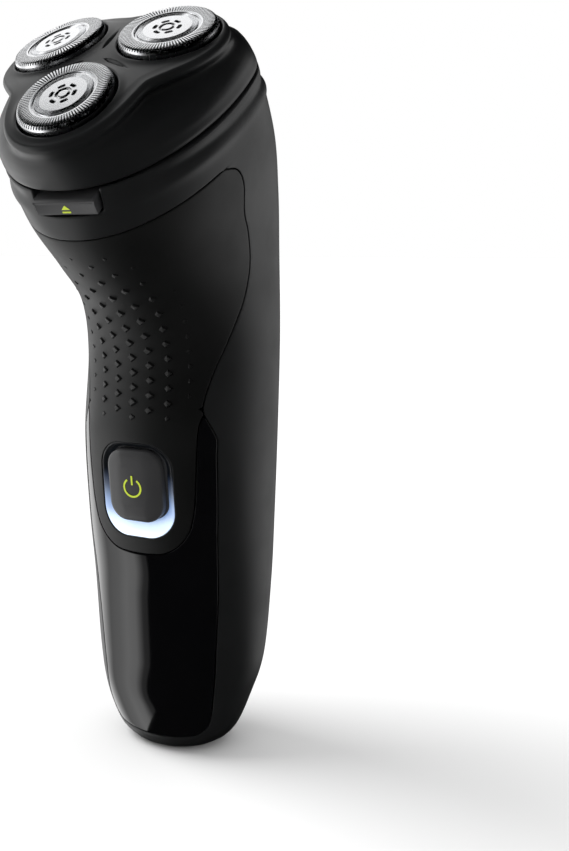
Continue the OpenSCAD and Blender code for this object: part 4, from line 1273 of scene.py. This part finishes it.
world = bpy.data.worlds.new("pale_studio")
bpy.context.scene.world = world
world.use_nodes = True
world.node_tree.nodes["Background"].inputs["Color"].default_value = (1, 1, 1, 1)
world.node_tree.nodes["Background"].inputs["Strength"].default_value = 1.0
world.cycles_visibility.glossy = False


def aim(thing, place, target):
    thing.location = place
    thing.rotation_euler = (Vector(target) - Vector(place)).to_track_quat("-Z", "Y").to_euler()


def broad_sun(name, place, strength, width_deg):
    """A wide, distant light that whitens the floor and leaves a soft shadow behind the shaver."""
    lamp = bpy.data.lights.new(name, "SUN")
    lamp.energy, lamp.angle = strength, math.radians(width_deg)
    thing = bpy.data.objects.new(name, lamp)
    bpy.context.scene.collection.objects.link(thing)
    aim(thing, place, (0, 0, 0))
    thing.visible_glossy = False


def reflector(name, azimuth, elevation, distance, width, height, strength, stops, middle=(0, 0, 0.08)):
    """A glowing card that shows only in reflections; stops give its brightness from its left to its right."""
    az, el = math.radians(azimuth), math.radians(elevation)
    place = Vector(middle) + distance * Vector((math.sin(az) * math.cos(el), -math.cos(az) * math.cos(el),
                                                math.sin(el)))
    card = begin("plane", name, size=1)
    card.scale = (width, height, 1)
    card.location = place
    card.rotation_euler = (place - Vector(middle)).to_track_quat("Z", "Y").to_euler()
    made = bpy.data.materials.new(name + "_glow")
    made.use_nodes = True
    tree = made.node_tree
    tree.nodes.clear()
    places = put(tree, "ShaderNodeTexCoord").outputs["Object"]
    side = put(tree, "ShaderNodeSeparateXYZ", Vector=places)
    across = put(tree, "ShaderNodeMath", {"operation": "ADD"}, {1: 0.5})
    tree.links.new(side.outputs["X"], across.inputs[0])
    shade = ramp(tree, across.outputs[0], [(at, grey(v)) for at, v in stops], "LINEAR")
    glow = put(tree, "ShaderNodeEmission", inputs={"Strength": strength}, Color=shade)
    put(tree, "ShaderNodeOutputMaterial", Surface=glow.outputs[0])
    made.cycles.emission_sampling = "NONE"
    card.data.materials.append(made)
    card.visible_camera = card.visible_diffuse = card.visible_shadow = card.visible_transmission = False
    return card


broad_sun("window_left", (-1.0, -0.22, 1.15), 2.6, 38)
# a tall card at the left draws the soft upright band on the gloss panel and lights the grip's left side
reflector("card_left", -81, -10, 0.6, 1.2, 1.25, 3.4,
          [(0, 0.4), (0.22, 0.55), (0.36, 0.42), (0.46, 0.22), (0.6, 0.4), (0.7, 0.6), (0.82, 0.6),
           (0.93, 0.1)])
# a card behind at the right lifts the rear shell away from the dark grip
reflector("card_right", 150, -4, 0.7, 1.0, 0.75, 0.9, [(0, 0.25), (0.2, 1), (0.45, 1), (1, 0.4)])
# a small card above and behind shines on the steel caps
reflector("card_top", -128, 52, 0.6, 0.44, 0.44, 1.3, [(0, 0.85), (0.5, 1), (1, 0.85)])

camera = bpy.data.objects.new("studio_camera", bpy.data.cameras.new("studio_camera"))
bpy.context.scene.collection.objects.link(camera)
camera.location = (0.1124, -0.2134, 0.1169)
camera.rotation_euler = (math.radians(90 - 9.59), 0, math.radians(29.25))
camera.data.lens, camera.data.sensor_width = 44.24, 36
camera.data.shift_x = 0.1559
camera.data.clip_start = 0.01
bpy.context.scene.camera = camera
bpy.context.scene.view_settings.view_transform = "Standard"
